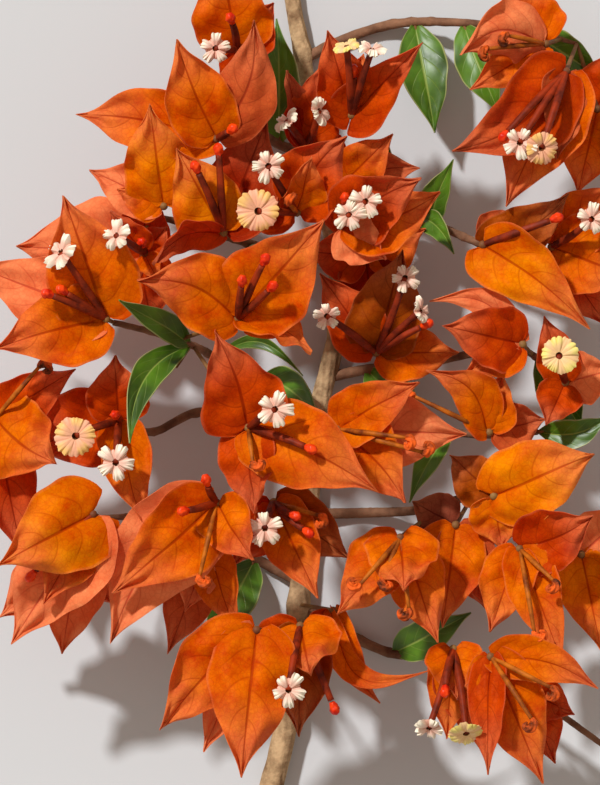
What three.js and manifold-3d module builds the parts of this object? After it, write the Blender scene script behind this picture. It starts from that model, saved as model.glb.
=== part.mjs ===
// A cut flowering branch of orange bougainvillea, laid down on a flat surface.
// X runs across the branch, Y along it towards its tips, Z up from the surface that it lies on.
import * as THREE from "three";
import { ParametricGeometry } from "three/addons/geometries/ParametricGeometry.js";
import { mergeVertices } from "three/addons/utils/BufferGeometryUtils.js";
import Module from "manifold-3d";

const wasm = await Module();
wasm.setup();

// Driving dimensions, in millimetres.
const STEM_WIDTH = { foot: 7.6, top: 5.2 };
const BOUGH_WIDTH = { foot: 3.4, tip: 1.8 };
const STALK_WIDTH = { foot: 1.2, tip: 1.6 };
const TUBE_WIDTH = { foot: 1.4, waist: 2.2, neck: 1.7 };
const BUD_WIDTH = 3.3;
const KNOT_WIDTH = 4.8;
const STAR_DEPTH = 1.6;
const CLEARANCE = 0.35;
const MERGE_REACH = 1e-3;
const SOUND_REACHES = [1e-4, 1e-3];
const SHORTEST_EDGES = [0.01, 0.003, 0];
const TIDY_REACHES = [0.3, 0.2, 0.1, 0.04];
const KNOT_SCALES = [1, 1.04, 1.08, 1.12, 1.16];
const SETTLE_STEP = 1;
const SETTLE_REACH = 40;

// A bract is a heart-shaped blade, folded along its midrib. These are shares of its length or half width.
const BRACT = { thickness: 0.02, lobe: 0.04, baseWidth: 0.16, crown: 0.75, rows: 5, bow: 0.06, cup: 0.22 };
const LEAF = { ...BRACT, lobe: 0, baseWidth: 0.04, crown: 0.9, rows: 3, bow: 0.1, cup: 0.25 };
const BRACT_FOOT = 1.3;
const BRACT_SPREAD = 0.06;
const TUBE_SIDES = 3;
const LIMB_SIDES = 5;
const STEM_SIDES = 8;
const STEM_ROWS = 14;
const LIMB_ROWS = 7;
const TRACK_POINTS = 60;

// Boughs: the route of each, foot first, with the green leaves that stand on it.
const STEM_ROUTE = [
  [-9, -122, 3.9],
  [-4, -100, 3.8],
  [0, -60, 3.6],
  [6, -5, 3.4],
  [12, 24, 3.2],
  [8, 60, 3],
  [2, 96, 2.8],
  [-3, 124, 2.7],
];
const BOUGHS = {
  bough_left: {
    route: [[1.5, -6, 5], [-12, 3, 1.8], [-25, 10, 16], [-32, 14, 36], [-44, 18, 45], [-56, 21, 50]],
    leaves: [
      leaf([-32, 17, 38], [-56.5, 27.5, 70], 8.5, { turn: 12 }),
      leaf([-33, 14, 38], [-52, -17, 64], 9.5, { sway: 0.15, turn: -10 }),
      leaf([-25, 10, 18], [1, 5, 32], 4, { sway: -0.24 }),
      leaf([-13, 4, 2], [8, -11, 28], 12, { sway: -0.1 }),
    ],
  },
  bough_left_low: {
    route: [[1, -22, 5.5], [-14, -14, 1.6], [-30, -6, 6], [-45, -12, 16], [-58, -9, 30], [-70, -8, 38]],
    leaves: [],
  },
  bough_upper_left: {
    route: [[7.5, 40, 5], [-6, 43, 1.7], [-20, 47, 10], [-34, 51, 20], [-46, 54, 28]],
    leaves: [leaf([-6, 43, 1.8], [-24, 34, 16], 11, {})],
  },
  bough_top_left: {
    route: [[4.5, 73, 5], [-6, 76, 1.7], [-14, 82, 10], [-20, 92, 18], [-22, 106, 20]],
    leaves: [leaf([-6, 76, 1.8], [-7, 114, 12], 13, {})],
  },
  bough_top_right: {
    route: [[4, 103, 5], [10, 107, 1.6], [28, 113, 3], [50, 113, 12], [68, 110, 22], [84, 106, 28]],
    leaves: [
      leaf([36, 113, 4], [41, 79, 12], 15, {}),
      leaf([50, 113, 12], [61, 84, 20], 13, { turn: 15 }),
      leaf([70, 109, 22], [92, 95, 26], 12, {}),
    ],
  },
  bough_upper_right: {
    route: [[13.5, 34, 4.6], [22, 44, 1.5], [36, 53, 12], [46, 49, 20], [56, 45, 24], [70, 43, 26], [80, 42, 28]],
    leaves: [
      leaf([37, 53, 12], [47, 41.5, 36], 7.5, { turn: 20, sway: -0.1 }),
      leaf([30, 50, 8], [26.5, 75, 34], 7, {}),
      leaf([40, 52, 15], [46, 70, 36], 9, { turn: -20 }),
    ],
  },
  bough_right: {
    route: [[9, 4, 5], [20, 7, 1.4], [38, 9, 8], [54, 12, 20], [67, 13, 28], [78, 6, 32]],
    leaves: [
      leaf([20, 7, 1.6], [40, -12, 16], 13, {}),
      leaf([72, 11, 30], [86, -12, 26], 13, {}),
    ],
  },
  bough_mid_right: {
    route: [[6.5, -16, 5], [24, -14, 1.4], [42, -12, 14], [57, -13, 26], [72, -12, 30]],
    leaves: [
      leaf([72, -12, 30], [94, -7, 34], 9, { sway: 0.12 }),
      leaf([46, -12, 16], [33, -33, 34], 8, { turn: 20 }),
    ],
  },
  bough_lower_right: {
    route: [[5, -38, 5], [20, -37, 1.4], [36, -36, 10], [52, -32, 18], [66, -33, 22], [80, -38, 26]],
    leaves: [],
  },
  bough_bottom_right: {
    route: [[2, -66, 5.5], [14, -74, 1.4], [28, -80, 4], [46, -81, 16], [60, -85, 26], [78, -97, 28], [92, -107, 28]],
    leaves: [leaf([28, -80, 4], [52, -67, 22], 12, {})],
  },
  bough_lower_left: {
    route: [[-3.5, -58, 5.5], [-14, -51, 1.4], [-30, -43, 10], [-46, -38, 22], [-60, -38, 32]],
    leaves: [leaf([-14, -51, 1.6], [-29, -80, 16], 14, {})],
  },
};

// Blooms: where the three bracts meet, then each bract's tip, and the flowers between them.
const BLOOMS = {
  bloom_left_a: {
    base: [-58, 22, 58],
    bracts: [
      bract(-70.5, 58.5, 8, 29, { cup: 0.12 }),
      bract(-91, 13, 5, 24, { cup: 0.2, sway: 0.02 }),
      bract(-98, 38, -13, 25, { turn: 10 }),
    ],
    flowers: [star(-71, 41.5, 13, 5.5, [-0.5, 0.3]), bud(-77, 30, 12), bud(-72.5, 31.5, 11)],
  },
  bloom_left_b: {
    base: [-49, 42, 30],
    bracts: [
      bract(-86, 44, 6, 32, { cup: -0.1 }),
      bract(-45, 61, 2, 17, {}),
      bract(-45, 20, -5, 19, {}),
    ],
    flowers: [],
  },
  bloom_left_c: {
    base: [-47, 42, 42],
    bracts: [
      bract(-57, 54.5, 6, 12, { turn: -15 }),
      bract(-43, 34, 3, 8, {}),
      bract(-40, 50, 0, 10, {}),
    ],
    flowers: [bud(-47.5, 46, 8), star(-54.5, 46.5, 26, 4.6, [-0.4, 0.2])],
  },
  bloom_upper_left_a: {
    base: [-41, 56, 46],
    bracts: [
      bract(-45, 86.5, 10, 22, { cup: -0.1, turn: -5 }),
      bract(-63.5, 67, -6, 16, { turn: 10 }),
      bract(-55, 61, 1, 13, {}),
    ],
    flowers: [],
  },
  bloom_upper_left_b: {
    base: [-23, 48, 46],
    bracts: [
      bract(-37, 73, 6, 22, { turn: -5, cup: 0.1 }),
      bract(-10, 82, -5, 24, { cup: 0.2 }),
      bract(-44, 38, 3, 14, { turn: -50, sway: 0.35 }),
    ],
    flowers: [bud(-32, 69, 14), bud(-24.5, 74.5, 13)],
  },
  bloom_upper_left_c: {
    base: [-25, 76, 52],
    bracts: [
      bract(-37, 105.5, 9, 21, { cup: 0.15, sway: -0.03 }),
      bract(-14, 111.5, 3, 20, { cup: -0.2, bow: 0.1, sway: 0.12 }),
      bract(-67, 83.5, -13, 20, { sway: 0.04, crown: 1 }),
    ],
    flowers: [bud(-19, 79.5, 8)],
  },
  bloom_top_left: {
    base: [-19, 104, 30],
    bracts: [
      bract(-24, 132, 8, 24, {}),
      bract(-8, 118, 1, 17, {}),
      bract(-14, 88, -6, 15, {}),
    ],
    flowers: [star(-25.5, 103.5, 14, 4.5), bud(-21.5, 114, 14)],
  },
  bloom_top_a: {
    base: [2, 74, 34],
    bracts: [
      bract(-5, 97, 5, 13, { turn: 40 }),
      bract(8, 101, 1, 17, {}),
      bract(15, 67, -6, 17, {}),
    ],
    flowers: [star(-4, 81.5, 12, 4.5, [-0.6, 0.6]), star(5.5, 84.5, 13, 4.6, [0.7, 0.2])],
  },
  bloom_top_b: {
    base: [15.5, 83.5, 40],
    bracts: [
      bract(8, 109, 5, 17, { lobe: 0.12 }),
      bract(37, 105, 9, 17, { lobe: 0.12, crown: 0.48 }),
      bract(19, 102, -4, 17, {}),
    ],
    flowers: [star(14, 103.5, 14, 4, [-0.2, 0.8]), star(21.5, 102.5, 14, 4.2, [0.2, 0.8]), bud(16, 98.5, 10)],
  },
  bloom_upper_right_a: {
    base: [12, 50, 50],
    bracts: [
      bract(36, 63.5, 8, 22, { sway: -0.06, turn: 10 }),
      bract(42, 60, -1, 22, { sway: 0.1, turn: -10 }),
      bract(26, 40, 3, 17, { turn: 20 }),
    ],
    flowers: [star(14.5, 53, 12, 4.8), star(19.5, 57, 12, 4.9), bud(13.5, 59.5, 11)],
  },
  bloom_upper_right_b: {
    base: [11, 61, 34],
    bracts: [
      bract(28, 78, 5, 17, {}),
      bract(36, 68, -3, 17, { sway: -0.1 }),
      bract(24, 44, -6, 17, {}),
    ],
    flowers: [],
  },
  bloom_upper_right_c: {
    base: [20, 41, 24],
    bracts: [
      bract(2, 43, 2, 17, {}),
      bract(38, 50, 0, 18, {}),
      bract(22, 22, -2, 18, {}),
    ],
    flowers: [],
  },
  bloom_upper_left_d: {
    base: [-1, 54, 46],
    bracts: [
      bract(14, 77, 3, 22, { cup: 0.2, sway: -0.1 }),
      bract(3, 71, 10, 14, { turn: 25 }),
      bract(-21, 60, -6, 18, {}),
    ],
    flowers: [star(-9.5, 67.5, 15, 5), star(-12.5, 54, 13, 6.2), old(-3.5, 56.5, 10)],
  },
  bloom_centre_a: {
    base: [-18.5, 22, 62],
    bracts: [
      bract(-48.5, 33.5, 6, 24, { cup: -0.12, bow: 0.1, sway: 0.14 }),
      bract(7, 51, 9, 28, { cup: 0.12 }),
      bract(3.5, 12, 2, 18, { turn: -50, sway: -0.12 }),
    ],
    flowers: [bud(-17, 34.5, 16), bud(-9.5, 41, 16), bud(-7, 32.5, 16)],
  },
  bloom_centre_b: {
    base: [-15.5, -10.5, 60],
    bracts: [
      bract(-25.5, 18, 8, 26, { cup: 0.12, turn: -10, sway: 0.06, crown: 0.62 }),
      bract(23, -29.5, 10, 26, { cup: -0.1, bow: 0.1, sway: -0.04 }),
      bract(-13, -36, 1, 19, { turn: 26 }),
    ],
    flowers: [star(-7.5, -5, 15, 5.4), bud(5, -17.5, 14), old(-14, -21, 9)],
  },
  bloom_centre_c: {
    base: [-8, -33, 44],
    bracts: [
      bract(5.5, -62, 5, 18, { cup: 0.2 }),
      bract(15, -50, -2, 19, {}),
      bract(-20, -52, -7, 18, {}),
    ],
    flowers: [star(-10.5, -40.5, 16, 5.3), bud(0, -37.5, 12), bud(4, -43, 12), old(6, -37, 8)],
  },
  bloom_lower_left_a: {
    base: [-25, -33, 54],
    bracts: [
      bract(-56, -60, 4, 25, { cup: 0.15, turn: -10 }),
      bract(-57, -75, -8, 30, { cup: 0.1, sway: 0.1 }),
      bract(-14, -50, 9, 18, { turn: 15 }),
    ],
    flowers: [bud(-28.5, -24.5, 10), bud(-36.5, -35.5, 12), old(-30, -55, 8)],
  },
  bloom_lower_left_b: {
    base: [-27.5, -46.4, 42],
    bracts: [
      bract(-19, -73, 4, 14, { turn: 15 }),
      bract(-34.5, -66, 0, 14, {}),
      bract(-40, -79, -7, 17, {}),
    ],
    flowers: [],
  },
  bloom_left_d: {
    base: [-62, -36.5, 54],
    bracts: [
      bract(-90, -51.5, 8, 29, { cup: -0.15, bow: 0.12, lobe: 0.16, crown: 0.62 }),
      bract(-77, -63, -3, 19, { turn: -10 }),
      bract(-86.5, -75, -12, 28, {}),
    ],
    flowers: [bud(-82, -56.5, 1)],
  },
  bloom_left_e: {
    base: [-67, -50, 36],
    bracts: [
      bract(-72, -79, 0, 20, {}),
      bract(-91, -68, -6, 22, {}),
      bract(-57, -64, -6, 17, {}),
    ],
    flowers: [],
  },
  bloom_left_f: {
    base: [-54.5, -8.5, 50],
    bracts: [
      bract(-81, -18, -10, 25, { cup: 0.15, sway: 0.06 }),
      bract(-55.5, 11, 5, 19, {}),
      bract(-47, -40, 6, 16, { turn: -15, sway: 0.04 }),
    ],
    flowers: [star(-67, -13, 12, 6), star(-55, -21, 15, 5.4), bud(-56, -6.5, 9)],
  },
  bloom_left_g: {
    base: [-92, -8, 42],
    bracts: [
      bract(-72.5, -21.5, 11, 26, { cup: -0.1, sway: 0.06 }),
      bract(-67.5, 7, 2, 16, {}),
      bract(-84, -50, -8, 20, {}),
    ],
    flowers: [old(-78, 8, 8)],
  },
  bloom_top_right_a: {
    base: [74, 105, 42],
    bracts: [
      bract(47.5, 101.5, 8, 20, { cup: -0.2, turn: -10, sway: 0.22 }),
      bract(51, 91, 2, 15, {}),
      bract(63, 122, -3, 20, {}),
    ],
    flowers: [old(56, 103, 9), old(62, 107, 10)],
  },
  bloom_top_right_b: {
    base: [80, 96.5, 46],
    bracts: [
      bract(45, 72, 8, 25, { cup: 0.15, sway: -0.12 }),
      bract(62, 56, -3, 26, { cup: 0.2 }),
      bract(77, 70, 3, 16, { turn: -15 }),
    ],
    flowers: [star(65.5, 74.5, 15, 4.8), star(72, 73, 15, 5, [0.2, -0.2]), bud(59.5, 75, 13)],
  },
  bloom_right_a: {
    base: [55, 44.5, 42],
    bracts: [
      bract(87, 19, 6, 22, { cup: 0.2, turn: 10, sway: -0.05, crown: 0.52 }),
      bract(81, 60, -4, 16, { sway: 0.1 }),
      bract(66, 55, -8, 13, {}),
    ],
    flowers: [bud(79, 53, 8)],
  },
  bloom_right_b: {
    base: [76, 44, 34],
    bracts: [
      bract(101, 34, 6, 25, { cup: 0.2 }),
      bract(98, 63, 0, 20, {}),
      bract(93, 20, -4, 18, {}),
    ],
    flowers: [star(87.5, 52, 14, 4.6)],
  },
  bloom_right_f: {
    base: [90, 86, 30],
    bracts: [
      bract(84, 60, 3, 20, {}),
      bract(106, 76, -2, 19, {}),
      bract(99, 105, -4, 18, {}),
    ],
    flowers: [],
  },
  bloom_right_c: {
    base: [67, 14.5, 44],
    bracts: [
      bract(43, 20, 6, 20, {}),
      bract(50, 6, -1, 16, { turn: 15 }),
      bract(39, 27.5, -3, 10, { sway: 0.22 }),
    ],
    flowers: [],
  },
  bloom_right_d: {
    base: [23, 12, 32],
    bracts: [
      bract(31, 43, 4, 23, { cup: 0.1 }),
      bract(6, 36, -2, 18, {}),
      bract(48, 12, -5, 18, {}),
    ],
    flowers: [
      star(31.5, 34.5, 14, 4.2),
      star(36, 24.5, 13, 4, [0.7, 0.2]),
      star(8, 23, 12, 4),
      bud(40, 21.5, 12),
    ],
  },
  bloom_centre_right_a: {
    base: [11, -11, 48],
    bracts: [
      bract(36, 3, 9, 18, { cup: 0.25, turn: -15 }),
      bract(50, -12.5, -1, 25, { cup: 0.1 }),
      bract(32, -33, 6, 22, { turn: 5, sway: -0.07 }),
    ],
    flowers: [old(32, -13.5, 12), old(37, -18, 10)],
  },
  bloom_centre_right_b: {
    base: [57, -12, 38],
    bracts: [
      bract(38, 6.5, 8, 15, { sway: 0.2 }),
      bract(61, 6, 2, 14, {}),
      bract(74, -8, -4, 16, {}),
    ],
    flowers: [old(34, -1, 6)],
  },
  bloom_lower_right_a: {
    base: [58.4, -31.2, 42],
    bracts: [
      bract(88, -18.5, 8, 25, { cup: -0.14, bow: 0.12, lobe: 0.1, crown: 0.92 }),
      bract(46, -19, -7, 16, { turn: -10 }),
      bract(61, -47, -4, 17, { turn: 8 }),
    ],
    flowers: [],
  },
  bloom_right_e: {
    base: [80, 3, 38],
    bracts: [
      bract(73.5, 23, 3, 13, {}),
      bract(95, 7, 0, 16, {}),
      bract(74, -10, 4, 14, {}),
    ],
    flowers: [star(77.5, 11, 15, 5.6)],
  },
  bloom_lower_right_b: {
    base: [66, -47, 46],
    bracts: [
      bract(79, -82, 7, 16, { cup: 0.15 }),
      bract(57, -72, 2, 17, { turn: 15 }),
      bract(88, -37, 4, 20, { cup: 0.3, sway: 0.06 }),
    ],
    flowers: [old(70, -72, 12), old(76, -56.5, 12)],
  },
  bloom_lower_right_c: {
    base: [85, -49, 34],
    bracts: [
      bract(91, -78, 4, 18, {}),
      bract(99, -36, 0, 20, {}),
      bract(104, -62, -4, 20, {}),
    ],
    flowers: [],
  },
  bloom_bottom_right_a: {
    base: [57, -79, 56],
    bracts: [
      bract(56, -114, 6, 12, { turn: 20 }),
      bract(72.5, -117, -3, 21, { cup: 0.15 }),
      bract(89, -88.5, 2, 14, { sway: -0.1 }),
    ],
    flowers: [old(69, -97.5, 13), old(75, -88, 10)],
  },
  bloom_bottom_right_b: {
    base: [46, -77, 48],
    bracts: [
      bract(44, -104, -3, 15, {}),
      bract(54, -107, -8, 17, {}),
      bract(47, -92, 9, 17, { lobe: 0.15 }),
    ],
    flowers: [
      star(38.5, -100, 13, 4.6, [-0.1, -0.6]),
      star(49.5, -101.5, 15, 5, [0.1, -0.6]),
      bud(43, -91, 13),
    ],
  },
  bloom_bottom_right_c: {
    base: [68, -90, 36],
    bracts: [
      bract(83, -97, 4, 14, {}),
      bract(77, -112, 2, 16, {}),
      bract(62, -108, -4, 15, {}),
    ],
    flowers: [],
  },
  bloom_lower_centre_a: {
    base: [30, -43.5, 52],
    bracts: [
      bract(11.5, -67, 2, 20, { cup: -0.1, turn: 15 }),
      bract(41, -75, 2, 19, { cup: -0.1, turn: -12 }),
      bract(31, -59, 12, 22, { cup: -0.1, lobe: 0.25 }),
    ],
    flowers: [old(17.6, -57.5, 10), old(24.5, -56, 8), old(32.5, -65, 8)],
  },
  bloom_lower_right_d: {
    base: [47, -40, 36],
    bracts: [
      bract(43, -71, 4, 21, { cup: 0.1 }),
      bract(57, -66, -2, 18, {}),
      bract(34, -33, -4, 15, {}),
    ],
    flowers: [],
  },
  bloom_bottom_a: {
    base: [-13, -71, 56],
    bracts: [
      bract(-42, -101, -3, 24, { cup: 0.1, sway: 0.04 }),
      bract(-17.5, -114.5, 8, 26, { cup: -0.15, bow: 0.08 }),
      bract(-29, -107, -12, 19, {}),
    ],
    flowers: [],
  },
  bloom_bottom_b: {
    base: [0, -70, 50],
    bracts: [
      bract(-0.5, -103, -3, 20, {}),
      bract(3, -84, 12, 23, { cup: -0.1, lobe: 0.22 }),
      bract(-17, -84, -2, 16, {}),
    ],
    flowers: [star(-3.5, -88.5, 17, 5), bud(11, -96.5, 4)],
  },
  bloom_lower_centre_b: {
    base: [10, -66, 34],
    bracts: [
      bract(40.5, -84, 6, 9, { sway: 0.42, turn: -20 }),
      bract(24, -94, 1, 11, { sway: 0.1 }),
      bract(5, -84, -4, 14, {}),
    ],
    flowers: [],
  },
};

// Colours of the dressed branch.
const COLOURS = {
  bark: { color: 0xb39479, roughness: 0.85, metalness: 0 },
  twig: { color: 0x7c4a34, roughness: 0.75, metalness: 0 },
  bract: { color: 0xe0641a, roughness: 0.6, metalness: 0 },
};

// Short makers for the table's entries.
function bract(x, y, lift, width, shape) {
  return { x, y, lift, width, ...shape };
}

function leaf(near, tip, width, shape) {
  return { near, tip, width, ...shape };
}

function star(x, y, lift, radius, facing = [0, 0]) {
  return { kind: "star", x, y, lift, radius, facing };
}

function bud(x, y, lift) {
  return { kind: "bud", x, y, lift };
}

function old(x, y, lift) {
  return { kind: "old", x, y, lift };
}

// The outer body of a joined solid, with the small voids that the joining seals filled.
function oneBody(solid) {
  const bodies = solid.decompose().sort((a, b) => b.volume() - a.volume());
  if (bodies.length > 1 && bodies[1].volume() > 0) throw new Error("a piece falls into separate bodies");
  return bodies[0];
}

// The triangles of a mesh whose three corners differ.
function wholeTriangles(index) {
  const kept = [];
  for (let i = 0; i < index.length; i += 3) {
    const [a, b, c] = [index[i], index[i + 1], index[i + 2]];
    if (a !== b && b !== c && c !== a) kept.push(a, b, c);
  }
  return kept;
}

// Whether every edge joins just two faces, also once corners that all but touch are one.
function isSound(geometry) {
  return SOUND_REACHES.every((reach) => {
    const triangles = wholeTriangles(mergeVertices(geometry, reach).index.array);
    const faces = new Map();
    triangles.forEach((corner, k) => {
      const next = triangles[k % 3 === 2 ? k - 2 : k + 1];
      const edge = corner < next ? `${corner} ${next}` : `${next} ${corner}`;
      faces.set(edge, (faces.get(edge) ?? 0) + 1);
    });
    return [...faces.values()].every((count) => count === 2);
  });
}

function shortestEdge(geometry) {
  const corners = geometry.toNonIndexed().attributes.position;
  const [here, next] = [new THREE.Vector3(), new THREE.Vector3()];
  let shortest = Infinity;
  for (let k = 0; k < corners.count; k++) {
    here.fromBufferAttribute(corners, k);
    next.fromBufferAttribute(corners, k % 3 === 2 ? k - 2 : k + 1);
    shortest = Math.min(shortest, here.distanceTo(next));
  }
  return shortest;
}

function toGeometry(solid) {
  const { vertProperties, triVerts } = solid.getMesh();
  const geometry = new THREE.BufferGeometry();
  geometry.setAttribute("position", new THREE.BufferAttribute(new Float32Array(vertProperties), 3));
  geometry.setIndex(new THREE.BufferAttribute(new Uint32Array(triVerts), 1));
  return geometry;
}

// A closed surface from point(u, v), where u goes once round the section and v from end to end.
function closedSolid(point, around, along) {
  const geometry = new ParametricGeometry(point, around, along);
  geometry.deleteAttribute("normal");
  geometry.deleteAttribute("uv");
  const merged = mergeVertices(geometry, MERGE_REACH);
  const triangles = wholeTriangles(merged.index.array);
  const solid = manifoldFrom(merged.attributes.position.array, triangles);
  if (solid.volume() > 0) return solid;
  const flipped = [];
  for (let i = 0; i < triangles.length; i += 3) flipped.push(triangles[i], triangles[i + 2], triangles[i + 1]);
  return manifoldFrom(merged.attributes.position.array, flipped);
}

function manifoldFrom(positions, triangles) {
  const mesh = new wasm.Mesh({
    numProp: 3,
    vertProperties: new Float32Array(positions),
    triVerts: new Uint32Array(triangles),
  });
  return new wasm.Manifold(mesh);
}

// The axes of a blade: along its midrib, across it, and out of its face, turned about the midrib.
function bladeAxes(foot, tip, turn) {
  const along = tip.clone().sub(foot).normalize();
  const face = new THREE.Vector3(0, 0, 1).addScaledVector(along, -along.z).normalize();
  const across = along.clone().cross(face);
  const angle = THREE.MathUtils.degToRad(turn);
  const turnedFace = face.clone().multiplyScalar(Math.cos(angle)).addScaledVector(across, Math.sin(angle));
  const turnedAcross = along.clone().cross(turnedFace);
  return { along, across: turnedAcross, face: turnedFace };
}

// A thin blade with a pointed tip: v runs from foot to tip, and u round its two faces.
function blade(foot, tip, width, shape, form) {
  const { turn = 0, bow, cup, sway = 0, lobe, crown } = { ...form, ...shape };
  const { along, across, face } = bladeAxes(foot, tip, turn);
  const length = foot.distanceTo(tip);
  const thickness = form.thickness * length + 0.1;
  const surface = (u, v, target) => {
    const sideways = u <= 0.5 ? 4 * u - 1 : 3 - 4 * u;
    const upper = u <= 0.5 ? 1 : -1;
    const bulge = Math.sin(Math.PI * (form.baseWidth + (1 - form.baseWidth) * v ** crown));
    const halfWidth = 0.5 * width * Math.max(0, bulge) * (1 - 0.2 * v ** 3);
    const setBack = lobe * length * (1 - v) ** 3 * Math.abs(sideways);
    const arch = Math.sin(Math.PI * v);
    const inside = Math.abs(sideways) < 0.99 && v > 0.01 && v < 0.99 ? 1 : 0;
    const raised = bow * length * arch + cup * halfWidth * sideways ** 2;
    target
      .copy(foot)
      .addScaledVector(along, v * length - setBack)
      .addScaledVector(across, sideways * halfWidth + sway * length * arch)
      .addScaledVector(face, raised + 0.5 * upper * inside * thickness);
  };
  return closedSolid(surface, 4, form.rows);
}

// A round limb along a smooth curve, with a radius for each share of its length.
function limb(points, radiusAt, sides, rows) {
  const curve = new THREE.CatmullRomCurve3(points);
  const frames = curve.computeFrenetFrames(rows, false);
  const surface = (u, v, target) => {
    const row = Math.round(v * (rows + 2)) - 1;
    const ring = THREE.MathUtils.clamp(row, 0, rows);
    const radius = row === ring ? radiusAt(ring / rows) : 0;
    const angle = 2 * Math.PI * (u % 1);
    curve.getPointAt(ring / rows, target);
    target
      .addScaledVector(frames.normals[ring], radius * Math.cos(angle))
      .addScaledVector(frames.binormals[ring], radius * Math.sin(angle));
  };
  return closedSolid(surface, sides, rows + 2);
}

// A straight taper between two widths.
function taper(footWidth, tipWidth) {
  return (share) => 0.5 * THREE.MathUtils.lerp(footWidth, tipWidth, share);
}

// The radius of a flower's tube: a slim foot, a fuller body, a neck, and then a closed bud if it has one.
function tubeRadius(closed) {
  const widths = [TUBE_WIDTH.foot, TUBE_WIDTH.waist, TUBE_WIDTH.neck];
  if (closed) widths.push(BUD_WIDTH, 0.6 * BUD_WIDTH);
  return (share) => 0.5 * widths[Math.round(share * (widths.length - 1))];
}

// A flower's tube leaves the knot and leans over towards its mouth.
function tubeRoute(base, mouth) {
  const middle = base.clone().lerp(mouth, 0.5);
  middle.z += 0.1 * base.distanceTo(mouth);
  return [base, middle, mouth];
}

// An open flower is a shallow cone with five notched points.
function starDisc(centre, radius, facing) {
  const normal = new THREE.Vector3(facing[0], facing[1], 1 - 0.8 * Math.hypot(...facing)).normalize();
  const turn = new THREE.Quaternion().setFromUnitVectors(new THREE.Vector3(0, 0, 1), normal);
  const surface = (u, v, target) => {
    const step = Math.round(u * 10) % 10;
    const reach = v > 0.25 && v < 0.75 ? radius * (step % 2 ? 0.68 : 1) : 0;
    const height = v < 0.25 ? -0.6 * STAR_DEPTH : v > 0.75 ? 0.4 * STAR_DEPTH : 0.7 * STAR_DEPTH;
    const angle = (2 * Math.PI * step) / 10;
    target.set(reach * Math.cos(angle), reach * Math.sin(angle), height);
    target.applyQuaternion(turn).add(centre);
  };
  return closedSolid(surface, 10, 2);
}

// A ball at the foot of the bracts, where they, the tubes and the stalk join.
function knot(centre, scale) {
  const surface = (u, v, target) => {
    const angle = 2 * Math.PI * (u % 1);
    target.setFromSphericalCoords(0.5 * KNOT_WIDTH * scale, Math.PI * v, angle).add(centre);
  };
  return closedSolid(surface, 4, 2);
}

// One bloom with its bracts and flowers, and its knot at the given height.
function makeBloom(bloom, knotScale, tidyReach) {
  const base = new THREE.Vector3(...bloom.base);
  const parts = [knot(base, knotScale)];
  for (const { x, y, lift, width, ...shape } of bloom.bracts) {
    const tip = new THREE.Vector3(x, y, base.z + lift);
    const foot = tip.clone().sub(base).setLength(BRACT_FOOT).add(base);
    foot.z += BRACT_SPREAD * lift;
    parts.push(blade(foot, tip, width, shape, BRACT));
  }
  for (const flower of bloom.flowers) {
    const mouth = new THREE.Vector3(flower.x, flower.y, base.z + flower.lift);
    const closed = flower.kind === "bud";
    const rows = closed ? 4 : 2;
    parts.push(limb(tubeRoute(base, mouth), tubeRadius(closed), TUBE_SIDES, rows));
    if (flower.kind === "star") parts.push(starDisc(mouth, flower.radius, flower.facing));
  }
  return oneBody(wasm.Manifold.union(parts).simplify(tidyReach));
}

// The middle line of a limb as a row of points, each with the limb's radius there.
function makeTrack(points, radiusAt) {
  const line = new THREE.CatmullRomCurve3(points).getSpacedPoints(TRACK_POINTS);
  return line.map((point, k) => ({ point, radius: radiusAt(k / TRACK_POINTS) }));
}

// The point of one or more tracks whose surface is nearest to a place.
function nearestLimb(place, track) {
  const distance = ({ point, radius }) => point.distanceTo(place) - radius;
  return track.reduce((best, next) => (distance(next) < distance(best) ? next : best));
}

// A route whose first point is moved to just clear of the stem.
function clearOfStem(points, stemTrack) {
  const { point, radius } = nearestLimb(points[0], stemTrack);
  const away = points[1].clone().sub(point).normalize();
  return [point.clone().addScaledVector(away, radius + 0.5 * BOUGH_WIDTH.foot + CLEARANCE), ...points.slice(1)];
}

// A bloom's own stalk, from its knot down to just clear of the nearest limb.
function makeStalk(base, track) {
  const { point, radius } = nearestLimb(base, track);
  const away = base.clone().sub(point).normalize();
  const foot = point.clone().addScaledVector(away, radius + 2 * CLEARANCE);
  const middle = foot.clone().lerp(base, 0.5);
  middle.z -= 0.06 * foot.distanceTo(base);
  return limb([foot, middle, base], taper(STALK_WIDTH.foot, STALK_WIDTH.tip), TUBE_SIDES, 3);
}

function boxesTouch(a, b) {
  const [one, two] = [a.boundingBox(), b.boundingBox()];
  return [0, 1, 2].every((k) => one.min[k] < two.max[k] + CLEARANCE && two.min[k] < one.max[k] + CLEARANCE);
}

function isClear(solid, others) {
  return others.every((other) => !boxesTouch(solid, other) || solid.minGap(other, CLEARANCE) >= 0.9 * CLEARANCE);
}

// Makes a solid at the height nearest to its own, up or down, at which it is clear of all the others.
function settle(makeAt, others) {
  for (let step = 0; step <= 2 * SETTLE_REACH; step++) {
    const height = (step % 2 ? 1 : -1) * Math.ceil(step / 2) * SETTLE_STEP;
    const solid = makeAt(height);
    if (solid.boundingBox().min[2] > CLEARANCE && isClear(solid, others)) return { height, solid };
  }
  throw new Error("a piece finds no clear height");
}

// A leaf on its bough, with its tip raised or lowered until it is clear of the other limbs.
function makeLeaf({ near, tip, width, ...shape }, track, others) {
  const foot = nearestLimb(new THREE.Vector3(...near), track).point;
  const makeAt = (height) => blade(foot, new THREE.Vector3(tip[0], tip[1], tip[2] + height), width, shape, LEAF);
  return settle(makeAt, others).solid;
}

function toMesh(name, solid, finish) {
  const mesh = new THREE.Mesh(toGeometry(solid), new THREE.MeshStandardMaterial(finish));
  mesh.name = name;
  return mesh;
}

function vectors(route) {
  return route.map((place) => new THREE.Vector3(...place));
}

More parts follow.
